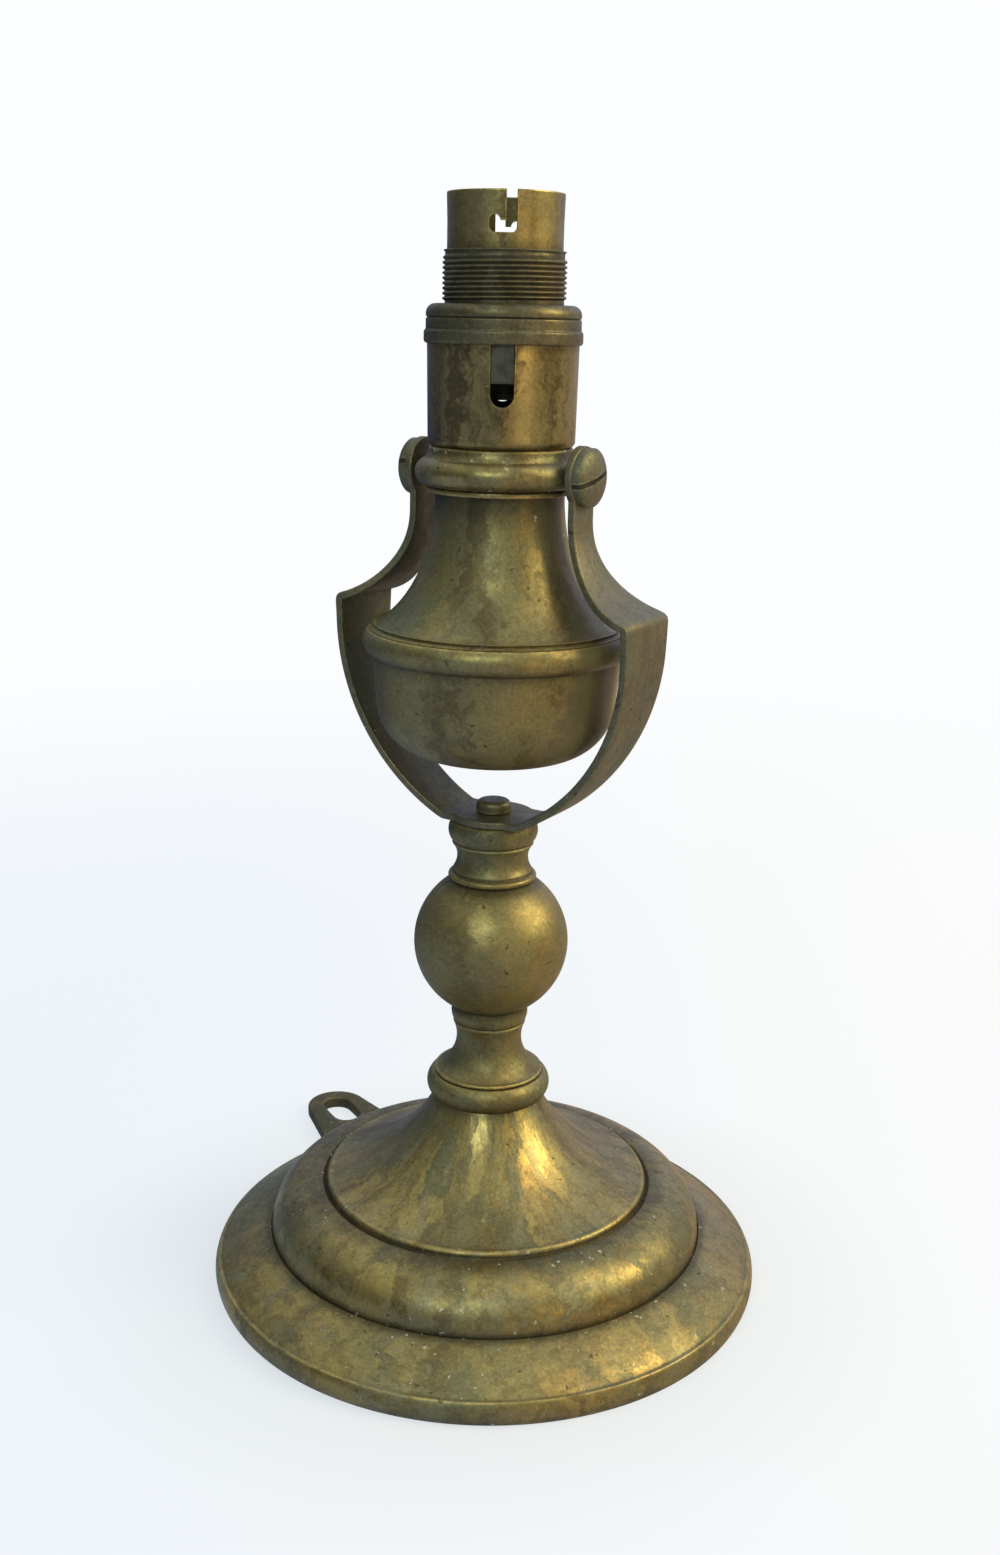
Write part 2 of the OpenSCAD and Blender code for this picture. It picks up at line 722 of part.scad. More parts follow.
module bowl_inside(gap) {
  intersection() {
    translate([0, bowl_z]) square([belt_d, bowl_h + belt_h + over]);
    offset(delta = -vessel_wall - gap) {
      half = concat(
        [[0, rim_z + belt_h], [bowl_r, rim_z + belt_h], [bowl_r, belt_z - groove / 2]],
        arc([corner_r, bowl_z + bowl_corner], bowl_corner, 0, -90),
        [[0, bowl_z]]
      );
      polygon(half);
      mirror([1, 0]) polygon(half);
    }
  }
}

module at_inlet() translate([0, 0, inlet_z]) rotate([-90, 0, 0]) children();

module vessel_bowl() {
  color(brass) difference() {
    rotate_extrude() difference() {
      polygon(bowl_points);
      bowl_inside(0);
    }
    at_inlet() rod(bush_r + seat_clear, corner_r, belt_d);
  }
}

module ballast() {
  color(lead) rotate_extrude() intersection() {
    bowl_inside(seat_clear);
    translate([0, bowl_z]) square([belt_d, vessel_wall + ballast_h]);
  }
}

module nipple() {
  nipple_foot_z = bell_top_z - vessel_wall - nipple_nut_h - nipple_out;
  color(brass) tube(nipple_d / 2, nipple_bore / 2, nipple_foot_z, cap_z + cap_floor + nipple_out);
}

module nipple_nut() {
  z = bell_top_z - vessel_wall;
  color(dark_brass) difference() {
    translate([0, 0, z - nipple_nut_h]) cylinder(d = 1.7 * nipple_d, h = nipple_nut_h, $fn = 6);
    rod(nipple_d / 2 + seat_clear, z - nipple_nut_h - over, z + over);
  }
}

module cord_bush() {
  seat = bowl_r - bowl_taper * (belt_z - inlet_z - bush_r - bush_lip) / (bowl_h - bowl_corner) + seat_clear;
  color(ebonite) at_inlet() difference() {
    union() {
      rod(bush_r, bowl_in - bush_tail, seat + bush_lip_t / 2);
      rod(bush_r + bush_lip, seat, seat + bush_lip_t);
    }
    rod(cord_d / 2, bowl_in - bush_tail - over, seat + bush_lip_t + over);
  }
}

module holder_cap() {
  color(brass) difference() {
    turned([
      [0, cap_z], [cap_foot_d / 2 - cap_chamfer, cap_z], [cap_foot_d / 2, cap_z + cap_chamfer],
      [cap_d / 2, union_z], [cap_thread_d / 2, union_z], [cap_thread_d / 2, cap_top_z], [0, cap_top_z]
    ]);
    rod(cap_in, cap_z + cap_floor, cap_top_z + over);
    rod(nipple_d / 2 + seat_clear, cap_z - over, cap_z + cap_floor + over);
    rotate(holder_turn) rotate([90, 0, 90]) linear_extrude(cap_d + over, center = true) {
      z = union_z - cap_slot_h + cap_slot_w / 2;
      translate([0, z]) circle(d = cap_slot_w);
      translate([-cap_slot_w / 2, z]) square([cap_slot_w, cap_top_z - z + over]);
    }
  }
}

// Outline of the union ring's outside: a chamfered band, a step, a groove and a rounded lip
union_step = 0.4;
union_band_h = 2.4;
union_groove_drop = 0.9;
union_band_z = union_z + union_band_h;
union_groove_z = union_lip_z - union_groove_drop;
union_slope = 1.6;
lip_clear = 0.2;
union_r = union_d / 2 - union_step;
union_points = concat(
  [[union_r, union_z], [union_d / 2, union_z + union_step], [union_d / 2, union_band_z]],
  [[union_r, union_band_z + union_step], [union_r, union_groove_z - union_step / 2]],
  [[union_r - union_step, union_groove_z], [union_r, union_groove_z + union_step / 2]],
  bow([union_r, union_lip_z], [union_r - union_slope, thread_z], union_step)
);

module union_ring() {
  lip_in = thread_d / 2 + lip_clear;
  inside = cap_thread_d / 2 + seat_clear;
  color(dark_brass) rotate_extrude() polygon(concat(
    union_points,
    [[lip_in, thread_z], [lip_in, union_lip_z], [inside, union_lip_z], [inside, union_z]]
  ));
}

// Outline of the barrel, from its flange up to its rim
thread_pitch = thread_h / (thread_turns + 1);
thread_root = thread_d / 2 - thread_depth;
thread_end = thread_d / 2 - bore_step;
barrel_flare = 0.15;
barrel_in = barrel_bore / 2 + bore_step;
barrel_points = concat(
  [[barrel_in, barrel_seat_z], [flange_r, barrel_seat_z], [flange_r, union_lip_z]],
  [[thread_root, union_lip_z]],
  [
    for (i = [0:thread_turns - 1], p = [[0, 0.3], [0, 0.5], [1, 0.9], [1, 1.1]])
      [thread_root + p.x * thread_depth, thread_z + (i + p.y) * thread_pitch]
  ],
  [[thread_root, plain_z - thread_pitch / 2]],
  [[thread_end, plain_z - thread_pitch / 3], [thread_end, plain_z]],
  [[barrel_d / 2, plain_z], [barrel_d / 2, plain_z + barrel_h / 2], [barrel_d / 2 + barrel_flare, top_z]],
  [[barrel_bore / 2, top_z], [barrel_bore / 2, guide_z], [barrel_in, guide_z]]
);

// Bayonet slot as cut on the side that faces +X, its hook to the left as seen from outside
module bayonet_slot() {
  z = top_z - bayonet_h;
  rotate([90, 0, 90]) linear_extrude(barrel_d) {
    translate([-bayonet_w / 2, z + bayonet_w / 2]) square([bayonet_w, bayonet_h]);
    translate([0, z + bayonet_w / 2]) circle(d = bayonet_w);
    translate([-bayonet_run, z]) square([bayonet_run, bayonet_w]);
    translate([-bayonet_run, z + bayonet_w / 2]) circle(d = bayonet_w);
    translate([-bayonet_run - bayonet_w / 2, z + bayonet_w / 2]) square([bayonet_w, bayonet_hook]);
    translate([-bayonet_run, z + bayonet_w / 2 + bayonet_hook]) circle(d = bayonet_w);
  }
}

module barrel() {
  color(brass) difference() {
    rotate_extrude() polygon(barrel_points);
    for (a = [0, 180]) rotate(holder_turn + bayonet_turn + a) bayonet_slot();
  }
}

// Places its children at the two contacts, side by side as seen from the cap's slot
module at_contacts(sides = [-1, 1]) {
  rotate(holder_turn + 90) for (s = sides) translate([s * plunger_pitch / 2, 0, 0]) children();
}

// Hole for a wire, level through a contact
module wire_hole(length) {
  translate([0, 0, tube_z + wire_hole_up]) rotate([90, 0, 0])
    cylinder(d = wire_hole_d, h = length, center = true);
}

module porcelain() {
  lug_w = cap_slot_w - 2 * porcelain_clear;
  color(ivory) difference() {
    union() {
      rod(porcelain_r, union_z - over, porcelain_z);
      rod(flange_r, cap_top_z, barrel_seat_z);
      for (a = [0, 180]) rotate(holder_turn + a)
        translate([porcelain_r - 2 * over, -lug_w / 2, union_z - lug_h])
          cube([flange_r - porcelain_r + 2 * over, lug_w, lug_h + cap_thread_h + over]);
      rod(foot_r, union_z - foot_h, union_z);
    }
    at_contacts() {
      rod(tube_d / 2 + seat_clear, tube_z, porcelain_z + over);
      wire_hole(2 * foot_r + over);
    }
  }
}

module contact_tubes() {
  color(brass) at_contacts() difference() {
    rod(tube_d / 2, tube_z, porcelain_z);
    rod(tube_in, tube_bore_z, porcelain_z - tube_lip);
    rod(plunger_d / 2 + run_clear, tube_bore_z, porcelain_z + over);
    rod(terminal_d / 2 + seat_clear, tube_z - over, tube_z + wire_hole_up + over);
    wire_hole(tube_d + over);
  }
}

module terminal_screws() {
  head_z = tube_z - over;
  color(dark_brass) at_contacts() difference() {
    union() {
      rod(terminal_d / 2, head_z - terminal_head_h, tube_z + wire_hole_up - wire_hole_d / 2);
      rod(0.85 * terminal_d, head_z - terminal_head_h, head_z);
    }
    translate([-terminal_d, -small_slot / 2, head_z - 2 * terminal_head_h])
      cube([2 * terminal_d, small_slot, 1.5 * terminal_head_h]);
  }
}

module plunger(s) {
  z = porcelain_z - tube_lip;
  tip = plunger_d / 2;
  stub_z = plunger_shelf_z - plunger_stub;
  collar_r = tube_in - run_clear;
  color(brass) at_contacts([s]) turned(concat(
    [[0, stub_z], [stub_r, stub_z], [stub_r, plunger_shelf_z]],
    [[collar_r, plunger_shelf_z], [collar_r, z], [tip, z]],
    arc([tip / 2, plunger_top_z - tip / 2], tip / 2, 0, 90),
    [[0, plunger_top_z]]
  ));
}

module plunger_left() plunger(-1);

module plunger_right() plunger(1);

// Coil of one wire, swept as rings of six sides between the tube's floor and the plunger's shelf
turn_steps = 8;
spring_steps = turn_steps * spring_turns;
spring_foot_z = tube_bore_z + spring_wire / 2 + seat_clear;
spring_rise = plunger_shelf_z - seat_clear - spring_wire / 2 - spring_foot_z;
wire_sides = 6;

function coil_at(i) =
  let (a = 360 / turn_steps * i)
  [spring_r * cos(a), spring_r * sin(a), spring_foot_z + spring_rise * i / spring_steps];

function coil_ring(i) =
  let (a = 360 / turn_steps * i)
  [
    for (k = [0:wire_sides - 1])
      let (b = 360 * k / wire_sides)
      coil_at(i) + spring_wire / 2 * [cos(a) * cos(b), sin(a) * cos(b), sin(b)]
  ];

coil_gap = min([
  for (i = [0:spring_steps - turn_steps + 3], j = [i + turn_steps - 3:spring_steps])
    norm(coil_at(i) - coil_at(j)) - spring_wire
]);
echo(coil_gap = coil_gap);

module coil(s) {
  points = [for (i = [0:spring_steps]) each coil_ring(i)];
  last = spring_steps * wire_sides;
  faces = concat(
    [[for (k = [0:wire_sides - 1]) k]],
    [[for (k = [wire_sides - 1:-1:0]) last + k]],
    [
      for (i = [0:spring_steps - 1], k = [0:wire_sides - 1], half = [0, 1])
        let (a = i * wire_sides + k)
        let (b = i * wire_sides + (k + 1) % wire_sides)
        half == 0 ? [a, a + wire_sides, b] : [b, a + wire_sides, b + wire_sides]
    ]
  );
  color(steel) at_contacts([s]) polyhedron(points, faces);
}

module spring_left() coil(-1);

module spring_right() coil(1);

base_shell();
column();
column_washer();
column_nut();
hanging_loop();
loop_screws();
yoke();
yoke_screw();
pivot_collar();
pivot_screws();
vessel_bell();
vessel_bowl();
ballast();
nipple();
nipple_nut();
cord_bush();
holder_cap();
union_ring();
barrel();
porcelain();
contact_tubes();
terminal_screws();
plunger_left();
plunger_right();
spring_left();
spring_right();
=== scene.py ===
"""Gimbal lamp in aged brass: turned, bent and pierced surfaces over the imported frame.

Shapes are worked out in millimetres in the lamp's own frame: +Z up the column, +X along the swing axis.
"""
import json

import bmesh
import bpy
import numpy as np
from mathutils import Matrix, Vector


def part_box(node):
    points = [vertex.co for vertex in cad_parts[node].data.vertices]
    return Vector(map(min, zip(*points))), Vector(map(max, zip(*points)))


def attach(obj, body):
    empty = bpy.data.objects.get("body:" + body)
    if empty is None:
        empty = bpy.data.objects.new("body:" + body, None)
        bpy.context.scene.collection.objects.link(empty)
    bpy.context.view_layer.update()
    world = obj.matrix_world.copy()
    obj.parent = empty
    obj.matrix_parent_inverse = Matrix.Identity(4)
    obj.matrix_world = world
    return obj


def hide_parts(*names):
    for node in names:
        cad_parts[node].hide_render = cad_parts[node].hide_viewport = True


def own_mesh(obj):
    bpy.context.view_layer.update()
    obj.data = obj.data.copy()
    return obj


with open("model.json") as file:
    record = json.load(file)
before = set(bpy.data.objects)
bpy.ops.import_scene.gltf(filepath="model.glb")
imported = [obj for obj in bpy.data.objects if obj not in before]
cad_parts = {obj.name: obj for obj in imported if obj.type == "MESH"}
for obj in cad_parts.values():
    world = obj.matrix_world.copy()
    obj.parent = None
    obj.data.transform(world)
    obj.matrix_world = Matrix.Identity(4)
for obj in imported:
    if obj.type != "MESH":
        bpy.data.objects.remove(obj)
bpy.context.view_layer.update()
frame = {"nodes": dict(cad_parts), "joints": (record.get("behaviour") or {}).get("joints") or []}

MM = 0.001
FULL = 2 * np.pi
TINY = 1e-6
SAME_PLACE = 1e-7
SHARP = np.radians(40)


def low(node):
    """Lowest corner of a node's box, in millimetres."""
    return np.array(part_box(node)[0]) / MM


def high(node):
    """Highest corner of a node's box, in millimetres."""
    return np.array(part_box(node)[1]) / MM


# Heights that the frame gives, from the floor up
seat_z = high("base_shell")[2]
tail_z = low("column")[2]
column_z = high("column")[2]
bowl_z = low("vessel_bowl")[2]
rim_z = high("vessel_bowl")[2]
bell_top_z = high("vessel_bell")[2]
bell_z = low("pivot_collar")[2]
cap_z = high("pivot_collar")[2]
union_z = low("union_ring")[2]
thread_z = high("union_ring")[2]
flange_z = low("barrel")[2]
top_z = high("barrel")[2]
pivot_z = {j["name"]: j for j in frame["joints"]}["lamp_swing"]["pos_m"][2] / MM

# Base
base_r = 62.9
rim_bulge = 0.8
rim_h = 5.4
ring_z = 11.7
ring_r = 49.7
ring_rise = 11.0
ring_start = 0.06
lip_r = 37.0
lip_h = 1.25
flange_bulge = 0.5
cone_hollow = 3.2
column_seat_r = 12.0
base_wall = 2.4
foot_r = 53.9
foot_h = 7.0
groove = 0.7

# Column
tail_r = 5.0
bead_r = 14.0
bead_h = 5.6
bead_bulge = 1.4
astragal_r = 12.3
astragal_h = 0.9
astragal_bulge = 0.405
cove_h = 7.5
neck_r = 7.35
flare_h = 4.1
ball_collar_r = 8.65
ball_collar_h = 3.75
ball_r = 17.25
upper_collar_r = 9.8
upper_collar_h = 1.9
upper_neck_r = 7.85
top_bead_r = 9.9
top_bead_h = 4.85
collar_bulge = 0.8

# Vessel and pivot collar
bell_neck_r = 13.5
flare_end = np.radians(74)
belt_r = 28.7
belt_h = 5.2
belt_bulge = 1.2
bowl_taper = 1.0
bowl_corner = 12.3
vessel_wall = 1.1
spigot_h = 4.4
seat_clear = 0.05
nipple_r = 4.85
collar_r = 17.9
collar_plain_r = 15.5
collar_bead_h = 5.6
collar_bead_bulge = 1.96
collar_lip = 0.4

# Lampholder
holder_turn = np.radians(-60)
cap_foot_r = 15.3
cap_r = 15.6
cap_chamfer = 0.9
cap_round_in = 0.405
cap_round_up = 0.27
cap_bore = 14.0
cap_spigot_r = 14.9
cap_spigot_h = 2.7
cap_floor_r = 14.2
cap_floor_t = 1.5
cap_slot_w = 4.8
cap_slot_h = 12.0
union_r = 16.3
union_step = 0.4
union_band_h = 2.4
union_groove_drop = 0.9
union_slope = 1.6
union_bore = 14.95
union_lip_t = 1.8
thread_r = 12.65
thread_depth = 0.55
thread_h = 10.5
thread_turns = 10
thread_run_out = 0.6
thread_start = 0.4
end_ring_r = 12.45
end_ring_h = 0.4
end_ring_draft = 0.05
end_ring_edge = 0.1
barrel_r = 11.75
barrel_flare = 0.15
barrel_lip = 0.06
barrel_bore = 11.15
core_clear = 0.2
barrel_flange_r = 14.85
barrel_flange_t = 1.4
bayonet_w = 2.2
bayonet_h = 8.0
bayonet_run = 3.4
bayonet_hook = 1.1
bayonet_turn = np.radians(6)
spring_wire_r = 0.25
spring_turns = 7

# Gaps between rows of points near the lampholder's slots
plain_margin = 0.5
slot_margin = 0.2
row_gap = 0.1

# Yoke and its screws
yoke_t = 1.65
yoke_flat = 9.5
flat_margin = 0.3
bend_soft = 0.5
arm_x = 35.4
ear_x = 19.9
ear_r = 6.3
shoulder_drop = 27.6
shoulder_r = 1.8
arm_plain = 5.0
arm_straight = 8.6
boss_r = 9.0
boss_h = 4.0
strip_seat_w = 13.4
strip_wide_w = 20.0
strip_neck_w = 8.6
strip_waist = 0.32
strip_edge = 0.4
head_clear = 0.15
ear_gap = 0.03
yoke_head_r = 3.8
yoke_head_h = 2.7
yoke_head_edge = 1.2
yoke_shank_r = 2.0
yoke_shank_l = 10.0
yoke_shoulder_r = 2.4
pivot_head_r = 6.0
pivot_head_h = 3.6
driver_slot = 1.0
driver_depth = 1.3
slot_lean = np.radians(-76)

# Hanging loop
loop_turn = np.radians(150.4)
loop_end = 91.5
loop_w = 16.0
tang_w = 23.0
tang_in = 54.6
tang_out = 63.9
loop_hole_l = 13.2
loop_hole_w = 7.2


def bow(p, q, s, n=24):
    """Circle arc from p to q whose middle stands s to the right of the straight line between them."""
    p, q = np.asarray(p, float), np.asarray(q, float)
    chord = np.linalg.norm(q - p)
    along = (q - p) / chord
    side = np.array([along[1], -along[0]]) * np.sign(s)
    radius = (chord**2 / 4 + s**2) / (2 * abs(s))
    half = np.arcsin(min(1, chord / 2 / radius))
    angle = np.linspace(-half, half, n)[:, None]
    centre = (p + q) / 2 + side * (abs(s) - radius)
    return centre + radius * (side * np.cos(angle) + along * np.sin(angle))


def ellipse(centre, radii, start, end, n=40):
    """Points of an ellipse about a centre, from one angle to another."""
    angle = np.linspace(start, end, n)
    return np.asarray(centre) + np.stack([radii[0] * np.cos(angle), radii[1] * np.sin(angle)], 1)


def circle(centre, radius, start, end, n=40):
    """Points of a circle about a centre, from one angle to another."""
    return ellipse(centre, (radius, radius), start, end, n)


def cove(p, q):
    """Hollow arc from p to q that stands upright at its narrower end."""
    dx, dz = abs(q[0] - p[0]), abs(q[1] - p[1])
    return bow(p, q, -np.hypot(dx, dz) / 2 * np.tan(np.arctan2(dx, dz) / 2))


def bead(r, z0, z1, s):
    """Upright bead whose middle reaches radius r, with a bulge of s."""
    return bow((r - s, z0), (r - s, z1), s)


def run(*parts):
    """One outline from arcs and single points, in order."""
    return np.concatenate([np.atleast_2d(np.asarray(part, float)) for part in parts])


def soften(values, width, step):
    """Gaussian blur of evenly spaced rows over three widths each way, which keeps both ends in place."""
    reach = int(np.ceil(3 * width / step))
    bell = np.exp(-0.5 * (np.arange(-reach, reach + 1) * step / width) ** 2)
    padded = np.pad(values, ((reach, reach), (0, 0)), mode="reflect", reflect_type="odd")
    columns = [np.convolve(column, bell / bell.sum(), mode="valid") for column in padded.T]
    return np.stack(columns, 1)


def lengths(path):
    """Length along a path at each of its points."""
    return np.concatenate([[0], np.cumsum(np.linalg.norm(np.diff(path, axis=0), axis=1))])


def points_at(path, s):
    """Points of a path at lengths s along it."""
    ends = lengths(path)
    keep = np.concatenate([[True], np.diff(ends) > TINY])
    return np.stack([np.interp(s, ends[keep], path[keep, k]) for k in (0, 1)], 1)


def even(path, count):
    """Path resampled to a count of points evenly along its length."""
    return points_at(path, np.linspace(0, lengths(path)[-1], count))


def normals(path):
    """Unit normals to the left of a path at each of its points."""
    tangent = np.gradient(path, axis=0)
    tangent /= np.linalg.norm(tangent, axis=1)[:, None]
    return np.stack([-tangent[:, 1], tangent[:, 0]], 1)


def worn(outline, soft=0.16, step=0.04, spacing=1.6, bend=np.radians(7), edge=0.3, neck=1.5):
    """Outline with its corners worn round, as rows of radius, height, wear, hollow and length along it.

    The outline is resampled evenly and blurred. Wear is the turning of the outline, blurred over an
    edge's width: above nought on edges and below nought in grooves. Hollow is the same over a neck's
    width, and is above nought in necks and coves. Points are then kept closely where the outline turns.
    """
    length = lengths(outline)[-1]
    s = np.linspace(0, length, int(length / step) + 2)
    step = s[1]
    smooth = soften(points_at(outline, s), soft, step)
    tangent = np.gradient(smooth, axis=0)
    heading = np.unwrap(np.arctan2(tangent[:, 1], tangent[:, 0]))
    turning = np.gradient(heading)
    wear = soften(turning[:, None] / step, edge, step)[:, 0]
    hollow = -soften(turning[:, None] / step, neck, step)[:, 0]
    measure = np.cumsum(step / spacing + np.abs(turning) / bend)
    at = np.interp(np.linspace(0, measure[-1], int(measure[-1]) + 2), measure, s)
    rows = np.stack([smooth[:, 0].clip(0), smooth[:, 1], wear, hollow, s], 1)
    return np.stack([np.interp(at, s, column) for column in rows.T], 1)


def shell(outline, wall, step=0.1):
    """Closed outline of a wall: the outline, then the same offset inwards by the wall, run back.

    The outline is blurred over part of the wall before the offset, so that the inside doesn't fold.
    """
    outer = points_at(outline, np.arange(0, lengths(outline)[-1], step))
    inner = soften(outer, wall / 2, step) + wall * normals(soften(outer, 2 * wall / 3, step))
    inner[:, 0] = inner[:, 0].clip(0)
    return run(outline, inner[::-1], outline[:1])


def grid_faces(rows, columns, round_rows=False, round_columns=True):
    """Quads between neighbouring points of a grid, which may close on itself either way."""
    i, j = np.meshgrid(
        np.arange(rows - (not round_rows)), np.arange(columns - (not round_columns)), indexing="ij"
    )
    up, on = (i + 1) % rows, (j + 1) % columns
    corners = [i * columns + j, i * columns + on, up * columns + on, up * columns + j]
    return np.stack(corners, -1).reshape(-1, 4)


def round_turn(count):
    """Angles evenly round one turn."""
    return np.linspace(0, FULL, count, endpoint=False)


def polar(r, angle, z):
    """Points (r cos a, r sin a, z) for radii, angles a and heights that share a grid."""
    return np.stack(np.broadcast_arrays(r * np.cos(angle), r * np.sin(angle), z), -1)


def placed(name, data):
    """Object at the origin that shows some data in the scene."""
    made = bpy.data.objects.new(name, data)
    bpy.context.scene.collection.objects.link(made)
    return made


def piece(name, points, faces, body, slot, nodes, material, flow=None, wear=0.0, dirt_and_shade=0.0):
    """Mesh of a grid of points in millimetres that rides on a body and stands for some nodes.

    flow is each point's place on the unrolled surface, wear its edge or groove value, and the last how
    much grime and painted shade lie there.
    """
    used, corners = np.unique(faces, return_inverse=True)
    mesh = bpy.data.meshes.new(name)
    spots, flow = (MM * grid.reshape(-1, 3)[used] for grid in (points, points if flow is None else flow))
    mesh.from_pydata(spots.tolist(), [], corners.reshape(-1, 4).tolist())
    mesh.attributes.new("flow", "FLOAT_VECTOR", "POINT").data.foreach_set("vector", flow.ravel())
    for kind, values in (("wear", wear), ("dirt_and_shade", dirt_and_shade)):
        values = np.broadcast_to(values, points.shape[:-1]).ravel()[used]
        mesh.attributes.new(kind, "FLOAT", "POINT").data.foreach_set("value", values)
    work = bmesh.new()
    work.from_mesh(mesh)
    bmesh.ops.remove_doubles(work, verts=work.verts, dist=SAME_PLACE)
    bmesh.ops.dissolve_degenerate(work, edges=work.edges, dist=SAME_PLACE / 10)
    work.to_mesh(mesh)
    work.free()
    mesh.polygons.foreach_set("use_smooth", np.ones(len(mesh.polygons), bool))
    mesh.set_sharp_from_angle(angle=SHARP)
    mesh.materials.append(material)
    made = placed(name, mesh)
    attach(made, body)
    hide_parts(*nodes)
    return made


# Shares of grime and painted shade about seams, in hollows and on inner skins
SEAM_GRIME_AND_SHADE = 0.8
HOLLOW_GRIME_AND_SHADE = 2.2
MOST_HOLLOW_GRIME_AND_SHADE = 0.7
INSIDE_GRIME_AND_SHADE = 0.5


def gathered_and_shaded(z, seams):
    """Grime and painted shade about seams: for each height and width, a smooth hump of that width."""
    return sum(SEAM_GRIME_AND_SHADE * np.exp(-(((z - at) / width) ** 2)) for at, width in seams)


def turned(name, outline, *role, sides=192, seams=()):
    """Surface of revolution: each row of the worn outline is swept round the axis.

    A point at angle a is (r cos a, r sin a, z), and its flow is the angle on a cylinder of the
    outline's mean radius by the length along the outline. Grime and painted shade lie in hollows and about
    the seams.
    """
    r, z, wear, hollow, s = (column[:, None] for column in worn(outline).T)
    angle = round_turn(sides)
    # Darker in hollows and about the seams: grime, and painted shade where parts meet
    dirt_and_shade = (HOLLOW_GRIME_AND_SHADE * hollow).clip(0, MOST_HOLLOW_GRIME_AND_SHADE) + gathered_and_shaded(z, seams)
    flow = polar(r.mean(), angle, s)
    return piece(name, polar(r, angle, z), grid_faces(len(r), sides), *role, flow, wear, dirt_and_shade)


def near_track(p, track):
    """Nearest point to each of p on an open track of straight runs, by clamped projection on each."""
    start, step = track[:-1], np.diff(track, axis=0)
    t = ((p[..., None, :] - start) * step).sum(-1) / (step**2).sum(-1)
    spots = start + t.clip(0, 1)[..., None] * step
    nearest = np.linalg.norm(p[..., None, :] - spots, axis=-1).argmin(-1)
    return np.take_along_axis(spots, nearest[..., None, None], -2)[..., 0, :]


def pierced(name, heights, outer, bore, track, width, slots, *role, seams, fine=0.13, sides=72):
    """Tube cut by two like slots, on a grid of angle by height with an outer and an inner skin.

    A slot is all that lies within half its width of its track, drawn on the unrolled tube. Cells whose
    middle is in a slot are left out, the points round them move on to the slot's outline, and walls
    join the two skins along every open edge. Angles are fine millimetres apart near the slots.
    """
    radius = outer.mean()
    reach = np.abs(track[:, 0]).max() + width
    close = np.linspace(-reach, reach, int(2 * reach / fine)) / radius
    rest = np.linspace(close[-1], np.pi + close[0], sides // 2)[1:-1]
    angle = np.concatenate([slots[0] + close, slots[0] + rest, slots[1] + close, slots[1] + rest])
    rows, columns = len(heights), len(angle)
    turn, z = np.meshgrid(angle, heights)

    def unroll(turn, z):
        """Place on the unrolled tube, measured from the nearer slot, and that slot's angle."""
        away = (turn[..., None] - np.array(slots) + np.pi) % FULL - np.pi
        nearest = np.abs(away).argmin(-1)
        away = np.take_along_axis(away, nearest[..., None], -1)[..., 0]
        return np.stack([away * radius, z], -1), np.array(slots)[nearest]

    def middle(values):
        """Values halfway between neighbours."""
        return (values[:-1] + values[1:]) / 2

    on = np.unwrap(np.append(angle, angle[0] + FULL))
    cell_turn, cell_z = np.meshgrid(middle(on), middle(heights))
    flat, _ = unroll(cell_turn, cell_z)
    solid = np.linalg.norm(flat - near_track(flat, track), axis=-1) > width / 2
    corners = np.pad(solid, ((1, 1), (0, 0)), mode="edge")
    around = np.stack([corners[:-1], corners[1:], np.roll(corners[:-1], 1, 1), np.roll(corners[1:], 1, 1)])
    edge = around.any(0) & ~around.all(0)
    flat, home = unroll(turn, z)
    spot = near_track(flat, track)
    away = np.linalg.norm(flat - spot, axis=-1)
    moved = spot + (flat - spot) / away[..., None].clip(TINY) * width / 2
    turn = np.where(edge, home + moved[..., 0] / radius, turn)
    z = np.where(edge, moved[..., 1].clip(heights[0], heights[-1]), z)
    skins = [polar(r, turn, z) for r in (outer[:, None], bore)]

    number = np.arange(rows * columns).reshape(rows, columns)
    inside = number + rows * columns
    quads = grid_faces(rows, columns).reshape(rows - 1, columns, 4)
    faces = [quads[solid], quads[solid][:, ::-1] + rows * columns]
    beyond = np.pad(solid, ((1, 1), (0, 0)))
    open_sides = (
        (beyond[2:], (1, 0), (1, 1)),
        (beyond[:-2], (0, 1), (0, 0)),
        (np.roll(solid, -1, 1), (1, 1), (0, 1)),
        (np.roll(solid, 1, 1), (0, 0), (1, 0)),
    )
    for next_cell, (up_a, on_a), (up_b, on_b) in open_sides:
        i, j = np.nonzero(solid & ~next_cell)
        a = i + up_a, (j + on_a) % columns
        b = i + up_b, (j + on_b) % columns
        faces.append(np.stack([number[a], number[b], inside[b], inside[a]], 1))

    edge_wear, slot_reach, rim_reach = 1.2, 0.35, 0.3
    wear = edge_wear * np.exp(-(((away - width / 2).clip(0) / slot_reach) ** 2))
    wear = np.maximum(wear, edge_wear * np.exp(-(((heights[-1] - z) / rim_reach) ** 2)))
    # Darker about the seams and more so on the inner skin: grime, and painted shade inside the tube
    dirt_and_shade = gathered_and_shaded(z, seams)
    flow = polar(radius, turn, z)
    on_both = [np.concatenate(pair) for pair in ((flow, flow), (wear, wear), (dirt_and_shade, dirt_and_shade + INSIDE_GRIME_AND_SHADE))]
    return piece(name, np.concatenate(skins), np.concatenate(faces), *role, *on_both)


